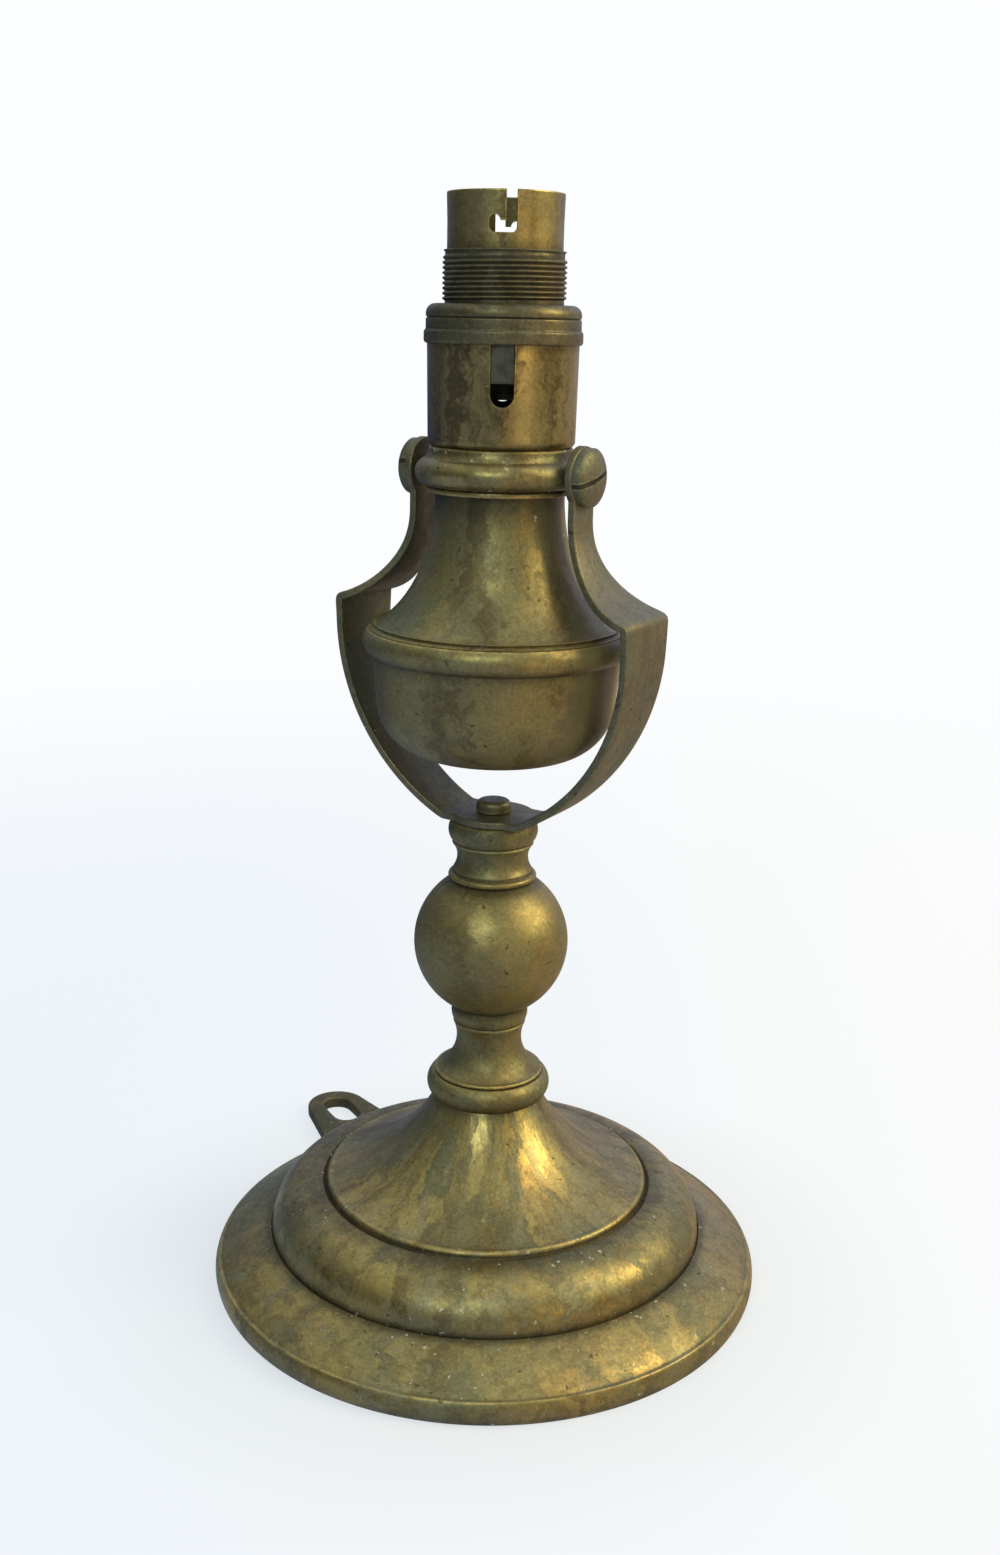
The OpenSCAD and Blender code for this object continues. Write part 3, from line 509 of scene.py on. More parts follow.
def strip(name, path, width, thick, edge, *role):
    """Flat strip with rounded edges: a rounded oblong carried along a path in the XZ plane.

    The oblong's width lies along Y and its thickness along the path's normal. Its four corners are
    quarter circles, and both ends close on the path.
    """
    steps, edge_wear = 6, 1.3
    normal = normals(path)
    angle = np.linspace(0, np.pi / 2, steps)
    corner = np.concatenate([angle + k * np.pi / 2 for k in range(4)])
    side_y = np.repeat([1, -1, -1, 1], steps)
    side_n = np.repeat([1, 1, -1, -1], steps)
    half = (width / 2).clip(edge)[:, None]
    y = side_y * (half - edge) + edge * np.cos(corner)
    lift = side_n * (thick / 2 - edge) + edge * np.sin(corner) + 0 * half
    x = path[:, :1] + normal[:, :1] * lift
    z = path[:, 1:] + normal[:, 1:] * lift
    points = np.stack([x, y, z], -1)
    flow = np.stack([lift, y, lengths(path)[:, None] + 0 * y], -1)
    round_off = np.abs(np.abs(np.cos(corner)) - np.abs(np.sin(corner)))
    wear = edge_wear * (1 - round_off)
    cap = np.stack([path[[0, -1], 0], [0, 0], path[[0, -1], 1]], 1)[:, None].repeat(4 * steps, 1)
    points = np.concatenate([cap[:1], points, cap[1:]])
    flow = np.concatenate([flow[:1], flow, flow[-1:]])
    return piece(name, points, grid_faces(len(points), 4 * steps), *role, flow, wear)


# Node helpers and finishes


def linked(value):
    """Whether a value is a node's output rather than a number or a colour."""
    return isinstance(value, bpy.types.NodeSocket)


def add(kind, settings=None, tree=None, **inputs):
    """Node of a kind, with settings on it and values or links on its inputs.

    An input goes by its name, or by the letter i and its number. The tree is that of the links, unless given.
    """
    tree = tree or next(value.id_data for value in inputs.values() if linked(value))
    made = tree.nodes.new(kind)
    for name, value in (settings or {}).items():
        setattr(made, name, value)
    for name, value in inputs.items():
        socket = made.inputs[int(name[1:])] if name[0] == "i" and name[1:].isdigit() else made.inputs[name]
        if linked(value):
            tree.links.new(value, socket)
        else:
            socket.default_value = value
    return made


def mix(factor, a, b):
    """Colour that goes from a to b with a factor."""
    a, b = (end if linked(end) else (*end, 1) for end in (a, b))
    return add("ShaderNodeMix", {"data_type": "RGBA"}, Factor=factor, i6=a, i7=b).outputs[2]


def sums(operation, a, b, clamp=False):
    """Arithmetic on two values."""
    return add("ShaderNodeMath", {"operation": operation, "use_clamp": clamp}, i0=a, i1=b).outputs[0]


def share(value, part):
    """Part of a value."""
    return sums("MULTIPLY", value, part)


def vector(operation, *values, **inputs):
    """Vector arithmetic: the node's outputs for some values in order and others by name."""
    numbered = {"i%d" % k: value for k, value in enumerate(values)}
    return add("ShaderNodeVectorMath", {"operation": operation}, **numbered, **inputs).outputs


def ramp(value, low_at, high_at, low_to=0.0, high_to=1.0):
    """Value carried smoothly from one range to another, and held beyond it."""
    limits = {"From Min": low_at, "From Max": high_at, "To Min": low_to, "To Max": high_to}
    made = add("ShaderNodeMapRange", {"interpolation_type": "SMOOTHSTEP"}, Value=value, **limits)
    return made.outputs[0]


def noise(place, scale, detail, rough, stretch=None):
    """Cloudy noise at a scale in cells per metre, stretched along the flow where asked."""
    if stretch is not None:
        place = add("ShaderNodeMapping", Vector=place, Scale=stretch).outputs[0]
    made = add("ShaderNodeTexNoise", Vector=place, Scale=scale, Detail=detail, Roughness=rough)
    return made.outputs["Fac"]


def warped(place, scale, reach):
    """Place pushed about by cloudy noise, by up to about a reach in metres."""
    clouds = add("ShaderNodeTexNoise", Vector=place, Scale=scale, Detail=3.0, Roughness=0.6)
    drift = vector("SUBTRACT", clouds.outputs["Color"], (0.5, 0.5, 0.5))[0]
    drift = vector("SCALE", drift, Scale=2 * reach)[0]
    return vector("ADD", place, drift)[0]


def patches(place, scale, stretch, border_w=0.14):
    """Cracked pattern with ragged borders: a random value for each patch, and the closeness of a border."""
    place = add("ShaderNodeMapping", Vector=place, Scale=stretch).outputs[0]
    cells = add("ShaderNodeTexVoronoi", {"feature": "F1"}, Vector=place, Scale=scale)
    border = add("ShaderNodeTexVoronoi", {"feature": "DISTANCE_TO_EDGE"}, Vector=place, Scale=scale)
    value = add("ShaderNodeSeparateColor", Color=cells.outputs["Color"]).outputs[0]
    return value, ramp(border.outputs["Distance"], 0.0, border_w, 1.0, 0.0)


def attribute(tree, name):
    """Outputs of a mesh attribute."""
    return add("ShaderNodeAttribute", {"attribute_name": name}, tree).outputs


def blank(name):
    """New material, its main shader and the place on the object."""
    made = bpy.data.materials.new(name)
    made.use_nodes = True
    place = add("ShaderNodeTexCoord", tree=made.node_tree).outputs["Object"]
    return made, made.node_tree.nodes["Principled BSDF"], place


def connect(shader, values):
    """Values linked to a shader's inputs by name."""
    for name, value in values.items():
        shader.id_data.links.new(value, shader.inputs[name])


# Patterns in the brass: cells per metre, detail, roughness and stretch of each noise
CLOUDS = (45, 5, 0.6)
MOTTLE = (420, 5, 0.7)
GRAIN = (1500, 3, 0.6)
RUNS = (150, 4, 0.6, (1, 1, 0.14))
STAINS = (150, 5, 0.65, (1, 1, 0.4))
PITS = (520, 2, 0.5)
CRUMBS = (700, 2, 0.5)
DRIFTS = (48, 2, 0.5)
OLD_STAIN = (300, 5, 0.65)

# Cells per metre with the reach of the raggedness in metres, or the stretch of the patches
RAGGED = (260, 0.004)
PATCHES = (150, (1, 1, 0.45))
FLECKS = (300, (1, 1, 0.5))

# Spans: where in a pattern a kind of age begins and is full, then how much of it shows there, if fixed
CLOUDED = (0.38, 0.66, 0.0, 0.35)
MOTTLED = (0.35, 0.65)
RUNNING = (0.5, 0.66)
STAINED = (0.55, 0.59)
PITTED = (0.70, 0.74, 0.0, 0.75)
# Grooves darken with grime and painted shade
GROOVED_DIRT_AND_SHADE = (-0.15, -1.6)
RUBBED = (0.25, 1.4)
BARED = (0.35, 0.6)
SHADED = (0.3, 0.7, 0.84, 1.16)
CRUSTED = (0.70, 0.73)
# Not age: where the pale, dull patch of painted light on the side by the right arm begins and is full
PAINTED_LIGHT_SPAN = (0.83, 1.03)

# Shares: how far soil and painted shade darken, how far dirt with painted shade and crust cover the
# brass, and how much metal dullness takes
SOIL_AND_SHADE_DARK = 0.75
DIRT_AND_SHADE_COVER = 0.85
CRUST_COVER = 0.8
METAL_LOST = 0.4

# Depth of the fine relief in metres
RELIEF = 0.0002


def brass(name, tones, grime, rough, blotch, streak, rubbing, stains, specks, mottling, flowing=True,
          painted_light=0.0):
    """Aged brass: polished gold under olive patina in patches, brown runs, pale stains and dark grooves.

    Tones are the gold, the patina and the brown. Grime is the least share of patina, rough the bare
    metal's roughness, and the rest say how much of each kind of age shows: blotch for crisp patches,
    streak for brown runs, rubbing for bright edges, then stains, white specks and fine mottling. Patterns
    follow the surface's flow if flowing. Grooves, hollows and seams darken with grime and painted shade.
    The last argument is how far the side by the right arm is painted pale and less shiny: painted light
    that stands in for the light seen on that side.
    """
    gold, olive, umber = tones
    made, shader, body = blank(name)
    flow = attribute(made.node_tree, "flow")["Vector"] if flowing else body
    wear = attribute(made.node_tree, "wear")["Fac"]
    dirt_and_shade = attribute(made.node_tree, "dirt_and_shade")["Fac"]
    ragged = warped(flow, *RAGGED)
    clouds = noise(body, *CLOUDS)
    mottle = noise(flow, *MOTTLE)
    grain = noise(body, *GRAIN)
    runs = noise(ragged, *RUNS)
    patch, border = patches(ragged, *PATCHES)
    fleck, _ = patches(ragged, *FLECKS)
    pit = ramp(noise(body, *PITS), *PITTED)

    patina = ramp(clouds, *CLOUDED)
    for part, weight in ((ramp(mottle, *MOTTLED), mottling), (patch, blotch), (fleck, blotch / 2)):
        patina = sums("ADD", patina, share(part, weight))
    patina = sums("ADD", patina, grime, True)
    brown = sums("MAXIMUM", ramp(runs, *RUNNING, 0.0, streak), share(border, 0.6 * blotch))
    pale = ramp(noise(ragged, *STAINS), *STAINED, 0.0, stains)
    # Grime and painted shade in hollows, about seams and in grooves, with real pits, darken the brass
    soil_and_shade = sums("MULTIPLY", dirt_and_shade, sums("ADD", mottle, 0.35), True)
    grooved_dirt_and_shade = ramp(wear, *GROOVED_DIRT_AND_SHADE)
    rubbed = sums("MULTIPLY", ramp(wear, *RUBBED, 0.0, rubbing), ramp(mottle, *BARED))
    dark = sums("MAXIMUM", sums("MAXIMUM", grooved_dirt_and_shade, pit), share(soil_and_shade, SOIL_AND_SHADE_DARK))

    colour = mix(patina, gold, olive)
    colour = mix(brown, colour, umber)
    colour = mix(pale, colour, PALE_STAIN)
    colour = mix(rubbed, colour, [min(1, 1.4 * c) for c in gold])
    # Dirt colour, which is also painted shade in grooves, hollows and seams
    colour = mix(share(dark, DIRT_AND_SHADE_COVER), colour, OLD_DIRT_AND_SHADE)
    colour = vector("SCALE", colour, Scale=ramp(grain, *SHADED))[0]
    dullness = sums("MAXIMUM", patina, sums("MAXIMUM", dark, pale))
    crumbs = sums("ADD", noise(body, *CRUMBS), share(soil_and_shade, 0.04 * specks))
    drift = ramp(noise(body, *DRIFTS), 0.62 - 0.2 * specks, 0.74 - 0.2 * specks)
    crumbs = sums("MULTIPLY", ramp(crumbs, *CRUSTED), drift)
    colour = mix(share(crumbs, CRUST_COVER), colour, WHITE_CRUST)
    dullness = sums("MAXIMUM", dullness, crumbs)
    metal = sums("SUBTRACT", 1.0, share(dullness, METAL_LOST), True)
    # Painted light: the side by the right arm is painted pale and dull, standing in for light seen there
    if painted_light:
        bearing = vector("NORMALIZE", vector("MULTIPLY", body, (1, 1, 0))[0])[0]
        toward_painted_side = vector("DOT_PRODUCT", bearing, PAINTED_LIGHT_SIDE)["Value"]
        painted_side_spread = sums("ADD", toward_painted_side, share(clouds, 0.3))
        painted_light_share = ramp(painted_side_spread, *PAINTED_LIGHT_SPAN, 0.0, painted_light)
        colour = mix(painted_light_share, colour, PAINTED_LIGHT_BRASS)
        metal = sums("MULTIPLY", metal, sums("SUBTRACT", 1.0, painted_light_share))
    uneven = sums("ADD", share(dullness, 0.2), share(mottle, 0.2))
    roughness = sums("ADD", uneven, rough - 0.1, True)
    relief = sums("ADD", share(mottle, 0.5), share(grain, 0.3))
    relief = sums("SUBTRACT", relief, pit)
    bump = add("ShaderNodeBump", Strength=0.25, Distance=RELIEF, Height=relief).outputs[0]
    connect(shader, {"Base Color": colour, "Metallic": metal, "Roughness": roughness, "Normal": bump})
    return made


def dull(name, colour, stain, rough):
    """Plain old material with a mottled stain, for the springs and the solids that show as they are."""
    made, shader, place = blank(name)
    cloud = ramp(noise(place, *OLD_STAIN), *CLOUDED[:2])
    stained = mix(cloud, colour, stain)
    roughness = ramp(cloud, 0, 1, rough, min(1, rough + 0.3))
    bump = add("ShaderNodeBump", Strength=0.15, Distance=RELIEF, Height=cloud).outputs[0]
    connect(shader, {"Base Color": stained, "Roughness": roughness, "Normal": bump})
    return made


# Tones: gold, patina and brown
POLISHED = ((0.52, 0.36, 0.12), (0.175, 0.158, 0.084), (0.125, 0.085, 0.040))
BRIGHT = ((0.42, 0.298, 0.108), (0.148, 0.150, 0.084), (0.112, 0.078, 0.036))
BROWNED = ((0.29, 0.23, 0.125), (0.125, 0.124, 0.088), (0.105, 0.083, 0.052))
UMBERED = ((0.19, 0.145, 0.075), (0.082, 0.079, 0.055), (0.070, 0.054, 0.033))
# Painted light: pale, dull brass for the side by the right arm, and the way that side faces
PAINTED_LIGHT_BRASS = (0.33, 0.25, 0.125)
PAINTED_LIGHT_SIDE = (0.966, 0.259, 0.0)
PALE_STAIN = (0.27, 0.235, 0.135)
# Dirt colour, also used as painted shade in grooves, hollows and seams
OLD_DIRT_AND_SHADE = (0.022, 0.019, 0.012)
WHITE_CRUST = (0.52, 0.50, 0.43)

# Finishes: grime, rough, blotch, streak, rubbing, stains, specks and mottling, in that order
base_brass = brass("base brass", POLISHED, 0.0, 0.28, 0.62, 0.65, 0.35, 0.6, 0.9, 0.2)
column_brass = brass("column brass", BRIGHT, 0.22, 0.38, 0.25, 0.5, 0.6, 0.2, 0.2, 0.15)
# The bell and the bowl take painted light on the side by the right arm
bell_brass = brass("bell brass", BRIGHT, 0.22, 0.33, 0.3, 0.8, 0.7, 0.3, 0.5, 0.15, painted_light=0.3)
bowl_brass = brass("bowl brass", BRIGHT, 0.18, 0.34, 0.25, 0.7, 0.7, 0.3, 0.4, 0.1, painted_light=0.6)
collar_brass = brass("collar brass", BRIGHT, 0.05, 0.30, 0.35, 0.6, 0.7, 0.3, 2.0, 0.2)
cap_brass = brass("cap brass", BRIGHT, 0.0, 0.25, 0.15, 0.9, 0.7, 0.0, 0.0, 0.1)
barrel_brass = brass("barrel brass", BRIGHT, 0.0, 0.30, 0.3, 0.8, 0.7, 0.2, 0.0, 0.1)
ring_brass = brass("union ring brass", UMBERED, 0.12, 0.36, 0.5, 0.6, 0.5, 0.25, 0.4, 0.2)
yoke_brass = brass("yoke brass", BROWNED, 0.15, 0.38, 0.4, 0.6, 0.3, 0.0, 0.0, 0.15)
screw_brass = brass("screw brass", BROWNED, 0.1, 0.38, 0.4, 0.7, 0.7, 0.0, 0.0, 0.3)
loop_brass = brass("loop brass", UMBERED, 0.1, 0.55, 0.5, 0.7, 0.6, 0.3, 0.6, 0.4, flowing=False)
hidden_brass = dull("hidden brass", (0.20, 0.15, 0.06), (0.08, 0.065, 0.035), 0.5)
# Porcelain near black: dirt, and painted shade of the inside of the cap
porcelain_dirt_and_shade = dull("dirty porcelain with painted shade", (0.058, 0.054, 0.040), (0.028, 0.026, 0.019), 0.5)
old_lead = dull("old lead", (0.12, 0.125, 0.13), (0.07, 0.07, 0.075), 0.6)
old_ebonite = dull("old ebonite", (0.03, 0.027, 0.024), (0.06, 0.05, 0.04), 0.5)
spring_wire = dull("spring wire", (0.32, 0.32, 0.30), (0.18, 0.16, 0.13), 0.35)

# Solids that show as they are, by their finish
PLAIN_SOLIDS = {
    hidden_brass: ("column_washer", "column_nut", "loop_screws", "nipple", "nipple_nut", "contact_tubes",
                   "terminal_screws", "plunger_left", "plunger_right"),
    porcelain_dirt_and_shade: ("porcelain",),
    old_lead: ("ballast",),
    old_ebonite: ("cord_bush",),
}
for finish, names in PLAIN_SOLIDS.items():
    for node_name in names:
        frame["nodes"][node_name].data.materials.clear()
        frame["nodes"][node_name].data.materials.append(finish)

# Base: rim, flange, half-round ring, lip and hollow cone, then the underside back to the foot
lip_z = ring_z + ring_rise
cone_z = lip_z + lip_h
ring_in = lip_r + 1.5 * groove
base_outline = run(
    (foot_r, 0),
    bow((base_r - rim_bulge, 0), (base_r - rim_bulge, rim_h), rim_bulge),
    bow((base_r - rim_bulge - groove, rim_h), (ring_r + groove / 2, ring_z), flange_bulge),
    (ring_r, ring_z - groove / 2),
    ellipse((ring_in, ring_z), (ring_r - ring_in, ring_rise), ring_start, np.pi / 2),
    (lip_r + groove / 2, lip_z - groove),
    bow((lip_r, lip_z), (lip_r - groove, cone_z), groove / 3),
    bow((lip_r - 2 * groove, cone_z), (column_seat_r, seat_z), -cone_hollow, n=60),
    (tail_r, seat_z),
    (tail_r, seat_z - base_wall),
    bow((column_seat_r - base_wall / 2, seat_z - base_wall), (lip_r - base_wall, cone_z - base_wall),
        cone_hollow, n=60),
    ellipse((ring_in, ring_z), (ring_r - ring_in - base_wall, ring_rise - base_wall), np.pi / 2, 0),
    (foot_r, foot_h),
    (foot_r, 0),
)
turned("base", base_outline, "base", "aged_brass", ["base_shell"], base_brass, sides=256,
       seams=((0, 1.5), (ring_z, 0.6), (lip_z, 0.5), (seat_z, 1.5)))

# Column: lower bead, small ring, hollow, neck, ball between its collars, upper neck and top bead
astragal_z = seat_z + bead_h
cove_z = astragal_z + astragal_h
neck_z = cove_z + cove_h
ball_collar_z = neck_z + flare_h
ball_foot_z = ball_collar_z + ball_collar_h
ball_foot_r = ball_collar_r - collar_bulge / 2
ball_top_r = upper_collar_r - collar_bulge
ball_z = ball_foot_z + np.sqrt(ball_r**2 - ball_foot_r**2)
ball_top_z = ball_z + np.sqrt(ball_r**2 - ball_top_r**2)
upper_neck_z = ball_top_z + upper_collar_h
top_bead_z = column_z - top_bead_h
waist_z = (upper_neck_z + top_bead_z) / 2
column_outline = run(
    (0, tail_z),
    (tail_r, tail_z),
    (tail_r, seat_z),
    bead(bead_r, seat_z, astragal_z, bead_bulge),
    bead(astragal_r, astragal_z, cove_z, astragal_bulge),
    cove((astragal_r - groove, cove_z), (neck_r, neck_z)),
    cove((neck_r, neck_z), (ball_foot_r, ball_collar_z - groove / 2)),
    (ball_foot_r - groove / 2, ball_collar_z),
    bead(ball_collar_r, ball_collar_z + groove / 2, ball_foot_z, collar_bulge / 2),
    circle((0, ball_z), ball_r, -np.arccos(ball_foot_r / ball_r), np.arccos(ball_top_r / ball_r), n=80),
    bead(upper_collar_r, ball_top_z, upper_neck_z - groove / 2, collar_bulge),
    (ball_top_r - groove / 2, upper_neck_z),
    cove((ball_top_r - groove / 4, upper_neck_z + groove / 2), (upper_neck_r, waist_z)),
    cove((upper_neck_r, waist_z), (top_bead_r - collar_bulge, top_bead_z - groove / 2)),
    (top_bead_r - collar_bulge - groove / 2, top_bead_z),
    bead(top_bead_r, top_bead_z + groove / 2, column_z, collar_bulge),
    (0, column_z),
)
turned("turned_column", column_outline, "base", "aged_brass", ["column"], column_brass,
       seams=((seat_z, 1.2), (ball_foot_z, 1.3), (ball_top_z, 1.6), (column_z, 2.0)))

# Vessel: spun bell with its spigot, and bowl with the rounded belt at its rim
belt_z = rim_z - belt_h
bowl_r = belt_r - belt_bulge - groove
bowl_foot_r = bowl_r - bowl_taper - bowl_corner
spigot_r = bowl_r - vessel_wall - seat_clear
flare = np.linspace(flare_end, 0, 80)
bell_flare = np.stack([
    bell_neck_r + (bowl_r + groove - bell_neck_r) * (1 - np.cos(flare)) / (1 - np.cos(flare_end)),
    bell_z - (bell_z - rim_z) * np.sin(flare) / np.sin(flare_end),
], 1)
bell_outline = run(
    (spigot_r, rim_z - spigot_h),
    (spigot_r, rim_z),
    bell_flare,
    (bell_neck_r, bell_top_z),
    (nipple_r, bell_top_z),
)
turned("bell", shell(bell_outline, vessel_wall), "lamp", "aged_brass", ["vessel_bell"], bell_brass,
       seams=((bell_z, 3.0), (bell_z, 6.0), (rim_z, 0.7)))
bowl_outline = run(
    (0, bowl_z),
    circle((bowl_foot_r, bowl_z + bowl_corner), bowl_corner, -np.pi / 2, 0),
    (bowl_r, belt_z - groove / 2),
    bow((belt_r - belt_bulge, belt_z), (belt_r - belt_bulge, rim_z), belt_bulge),
)
turned("bowl", shell(bowl_outline, vessel_wall), "lamp", "aged_brass", ["vessel_bowl"], bowl_brass,
       seams=((belt_z, 0.9),))

# Pivot collar: foot lip, undercut, half-round and the cove below the cap
collar_foot_z = pivot_z - collar_bead_h / 2
collar_cove_z = pivot_z + collar_bead_h / 2
neck_seat_r = bell_neck_r + seat_clear
collar_outline = run(
    (nipple_r, bell_top_z), (neck_seat_r, bell_top_z), (neck_seat_r, bell_z), (collar_plain_r, bell_z),
    (collar_plain_r, collar_foot_z - collar_lip), (collar_plain_r - collar_lip, collar_foot_z),
    bead(collar_r, collar_foot_z, collar_cove_z, collar_bead_bulge),
    cove((collar_plain_r + collar_lip, collar_cove_z), (collar_plain_r - collar_lip, cap_z - collar_lip)),
    (collar_plain_r - 2 * collar_lip, cap_z), (nipple_r, cap_z), (nipple_r, bell_top_z),
)
turned("collar", collar_outline, "lamp", "aged_brass", ["pivot_collar"], collar_brass,
       seams=((collar_foot_z, 0.7), (cap_z, 2.2)))

# Lampholder cap: a cup with two round-ended slots, and its floor. Rows lie closer beside the slots
slot_bottom_z = union_z - cap_slot_h
slot_foot_z = slot_bottom_z + cap_slot_w / 2
cap_top_z = union_z + cap_spigot_h
cap_floor_z = cap_z + cap_floor_t
cap_round_z = cap_z + cap_round_up
cap_plain_z = cap_z + cap_chamfer
cap_step_z = union_z + seat_clear
cap_heights = np.concatenate([
    [cap_z, cap_round_z, cap_plain_z - cap_round_up, cap_plain_z],
    np.linspace(cap_plain_z + plain_margin, slot_bottom_z - slot_margin - row_gap, 10),
    np.linspace(slot_bottom_z - slot_margin, union_z, 84),
    [cap_step_z, cap_top_z],
])
cap_outer = np.interp(
    cap_heights,
    [cap_z, cap_round_z, cap_plain_z, union_z, cap_step_z, cap_top_z],
    [cap_foot_r - cap_chamfer, cap_foot_r - cap_round_in, cap_foot_r, cap_r, cap_spigot_r, cap_spigot_r],
)
cap_track = np.array([[0, slot_foot_z], [0, top_z]])
cap_slots = (holder_turn, holder_turn + np.pi)
pierced("cap_cup", cap_heights, cap_outer, cap_bore, cap_track, cap_slot_w, cap_slots, "lamp", "aged_brass",
        ["holder_cap"], cap_brass, seams=((cap_z, 1.2), (union_z, 1.2)))
cap_floor_outline = run(
    (nipple_r, cap_z), (cap_floor_r, cap_z), (cap_floor_r, cap_floor_z), (nipple_r, cap_floor_z),
    (nipple_r, cap_z),
)
turned("cap_floor", cap_floor_outline, "lamp", "aged_brass", ["holder_cap"], cap_brass)

# Union ring: chamfered band, step, groove and rounded lip
union_lip_z = thread_z - union_lip_t
union_band_z = union_z + union_band_h
union_groove_z = union_lip_z - union_groove_drop
union_mid_r = union_r - union_step
union_outline = run(
    (union_bore, union_z), (union_mid_r, union_z), (union_r, union_z + union_step), (union_r, union_band_z),
    (union_mid_r, union_band_z + union_step), (union_mid_r, union_groove_z - union_step / 2),
    (union_mid_r - union_step, union_groove_z), (union_mid_r, union_groove_z + union_step / 2),
    bow((union_mid_r, union_lip_z), (union_mid_r - union_slope, thread_z), union_step),
    (thread_r + core_clear, thread_z), (thread_r + core_clear, union_lip_z), (union_bore, union_lip_z),
    (union_bore, union_z),
)
turned("clamp_ring", union_outline, "lamp", "dark_brass", ["union_ring"], ring_brass)

# Barrel: flange and core, a helical thread round it and the plain end with two hooked slots
plain_z = thread_z + thread_h
core_r = thread_r - thread_depth
core_bore = barrel_bore + core_clear
flange_top_z = flange_z + barrel_flange_t
barrel_core = run(
    (core_bore, flange_z), (barrel_flange_r, flange_z), (barrel_flange_r, flange_top_z),
    (core_r, flange_top_z), (core_r, plain_z - end_ring_h),
    (end_ring_r, plain_z - end_ring_h + end_ring_draft), (end_ring_r, plain_z - end_ring_edge),
    (barrel_r, plain_z), (core_bore, plain_z), (core_bore, flange_z),
)
turned("barrel_core", barrel_core, "lamp", "aged_brass", ["barrel"], ring_brass)
slot_rows_z = top_z - bayonet_h - 2 * slot_margin
plain_heights = np.concatenate([
    np.linspace(plain_z, slot_rows_z, 6)[:-1], np.linspace(slot_rows_z, top_z, 66),
])
plain_outer = np.interp(
    plain_heights,
    [plain_z, (plain_z + top_z) / 2, top_z - barrel_flare, top_z],
    [barrel_r, barrel_r, barrel_r + barrel_flare, barrel_r + barrel_lip],
)
slot_z = top_z - bayonet_h + bayonet_w / 2
bayonet_track = np.array([
    [0, top_z + bayonet_w], [0, slot_z], [-bayonet_run, slot_z], [-bayonet_run, slot_z + bayonet_hook],
])
bayonet_slots = (holder_turn + bayonet_turn, holder_turn + bayonet_turn + np.pi)
pierced("barrel_end", plain_heights, plain_outer, barrel_bore, bayonet_track, bayonet_w, bayonet_slots,
        "lamp", "aged_brass", ["barrel"], barrel_brass, seams=((plain_z, 1.2),))


def winding(turns, sides):
    """Angles of a winding with so many sides to a turn, with both ends given twice."""
    angle = np.linspace(0, FULL * turns, sides * turns + 1)
    return np.concatenate([angle[:1], angle, angle[-1:]])[:, None]


def helix(name, radius, depth, start, turns, pitch, *role, sides=96):
    """Thread: a rounded ridge carried round a helix. At angle a the ridge stands pitch * a / 360 degrees up.

    Its height across one pitch is depth times a raised cosine to a power that broadens it, and it
    runs out over half a turn at both ends. Its foot lies inside the core, and both ends close on it.
    """
    ridge_points, half, power, sunk = 9, 0.49, 0.67, 0.2
    root_wear, crest_wear = -0.4, 1.0
    angle = winding(turns, sides)
    across = np.concatenate([np.linspace(-half, half, ridge_points), [half, -half]])
    run_out = (np.minimum(angle, angle[-1] - angle) / np.pi).clip(0, 1)
    ridge = depth * run_out * (0.5 + 0.5 * np.cos(FULL * across)).clip(0) ** power
    r = radius - depth + ridge - sunk * (np.arange(len(across)) >= ridge_points)
    z = start + pitch * (angle / FULL + across)
    r[[0, -1]] = radius - depth - sunk
    z[[0, -1]] = start + pitch * angle[[0, -1]] / FULL
    wear = root_wear + (crest_wear - root_wear) * ridge / depth
    faces = grid_faces(len(angle), len(across))[:, ::-1]
    return piece(name, polar(r, angle, z), faces, *role, polar(radius, angle, z), wear)


thread_pitch = (thread_h - thread_run_out) / thread_turns
helix("shade_thread", thread_r, thread_depth, thread_z + thread_start * thread_pitch, thread_turns - 1,
      thread_pitch, "lamp", "aged_brass", ["barrel"], ring_brass)

# Yoke: flat seat, bowed arms, square shoulders, swept tops and round ears
shoulder_z = pivot_z - shoulder_drop
arm_top_z = pivot_z - arm_straight
arm_z = shoulder_z - shoulder_r - arm_plain
arm_w, arm_h = arm_x - yoke_flat, arm_z - column_z
arm_bow_r = (arm_w**2 + arm_h**2) / (2 * arm_w)
sweep_w, sweep_h = arm_x - ear_x, arm_top_z - shoulder_z
sweep_r = (sweep_w**2 + sweep_h**2) / (2 * sweep_w)
half_t = yoke_t / 2
corner_turn = np.arccos((sweep_r + ear_x - arm_x + half_t) / (sweep_r + half_t))
right_arm = run(
    (0, column_z + half_t),
    (yoke_flat - flat_margin, column_z + half_t),
    circle((arm_x - arm_bow_r, arm_z), arm_bow_r - half_t, -np.arcsin(arm_h / arm_bow_r), 0, n=60),
    circle((ear_x + sweep_r, arm_top_z), sweep_r + half_t, np.pi + corner_turn, np.pi, n=50),
    (ear_x - half_t, pivot_z + ear_r),
)
path_points, strip_rows, crowding = 1200, 240, 1.6
half_path = soften(even(right_arm, path_points), bend_soft, lengths(right_arm)[-1] / (path_points - 1))
stops = 1 - (1 - np.linspace(0, 1, strip_rows)) ** crowding
half_path = points_at(half_path, lengths(half_path)[-1] * stops)
x, z = half_path.T
lower_w = np.interp(z, [column_z, shoulder_z], [strip_seat_w, strip_wide_w])
rise = ((z - shoulder_z) / (arm_top_z - shoulder_z)).clip(0, 1)
upper_w = strip_wide_w + (strip_neck_w - strip_wide_w) * (rise + strip_waist * np.sin(np.pi * rise))
half_w = np.where(z < shoulder_z, lower_w, upper_w)
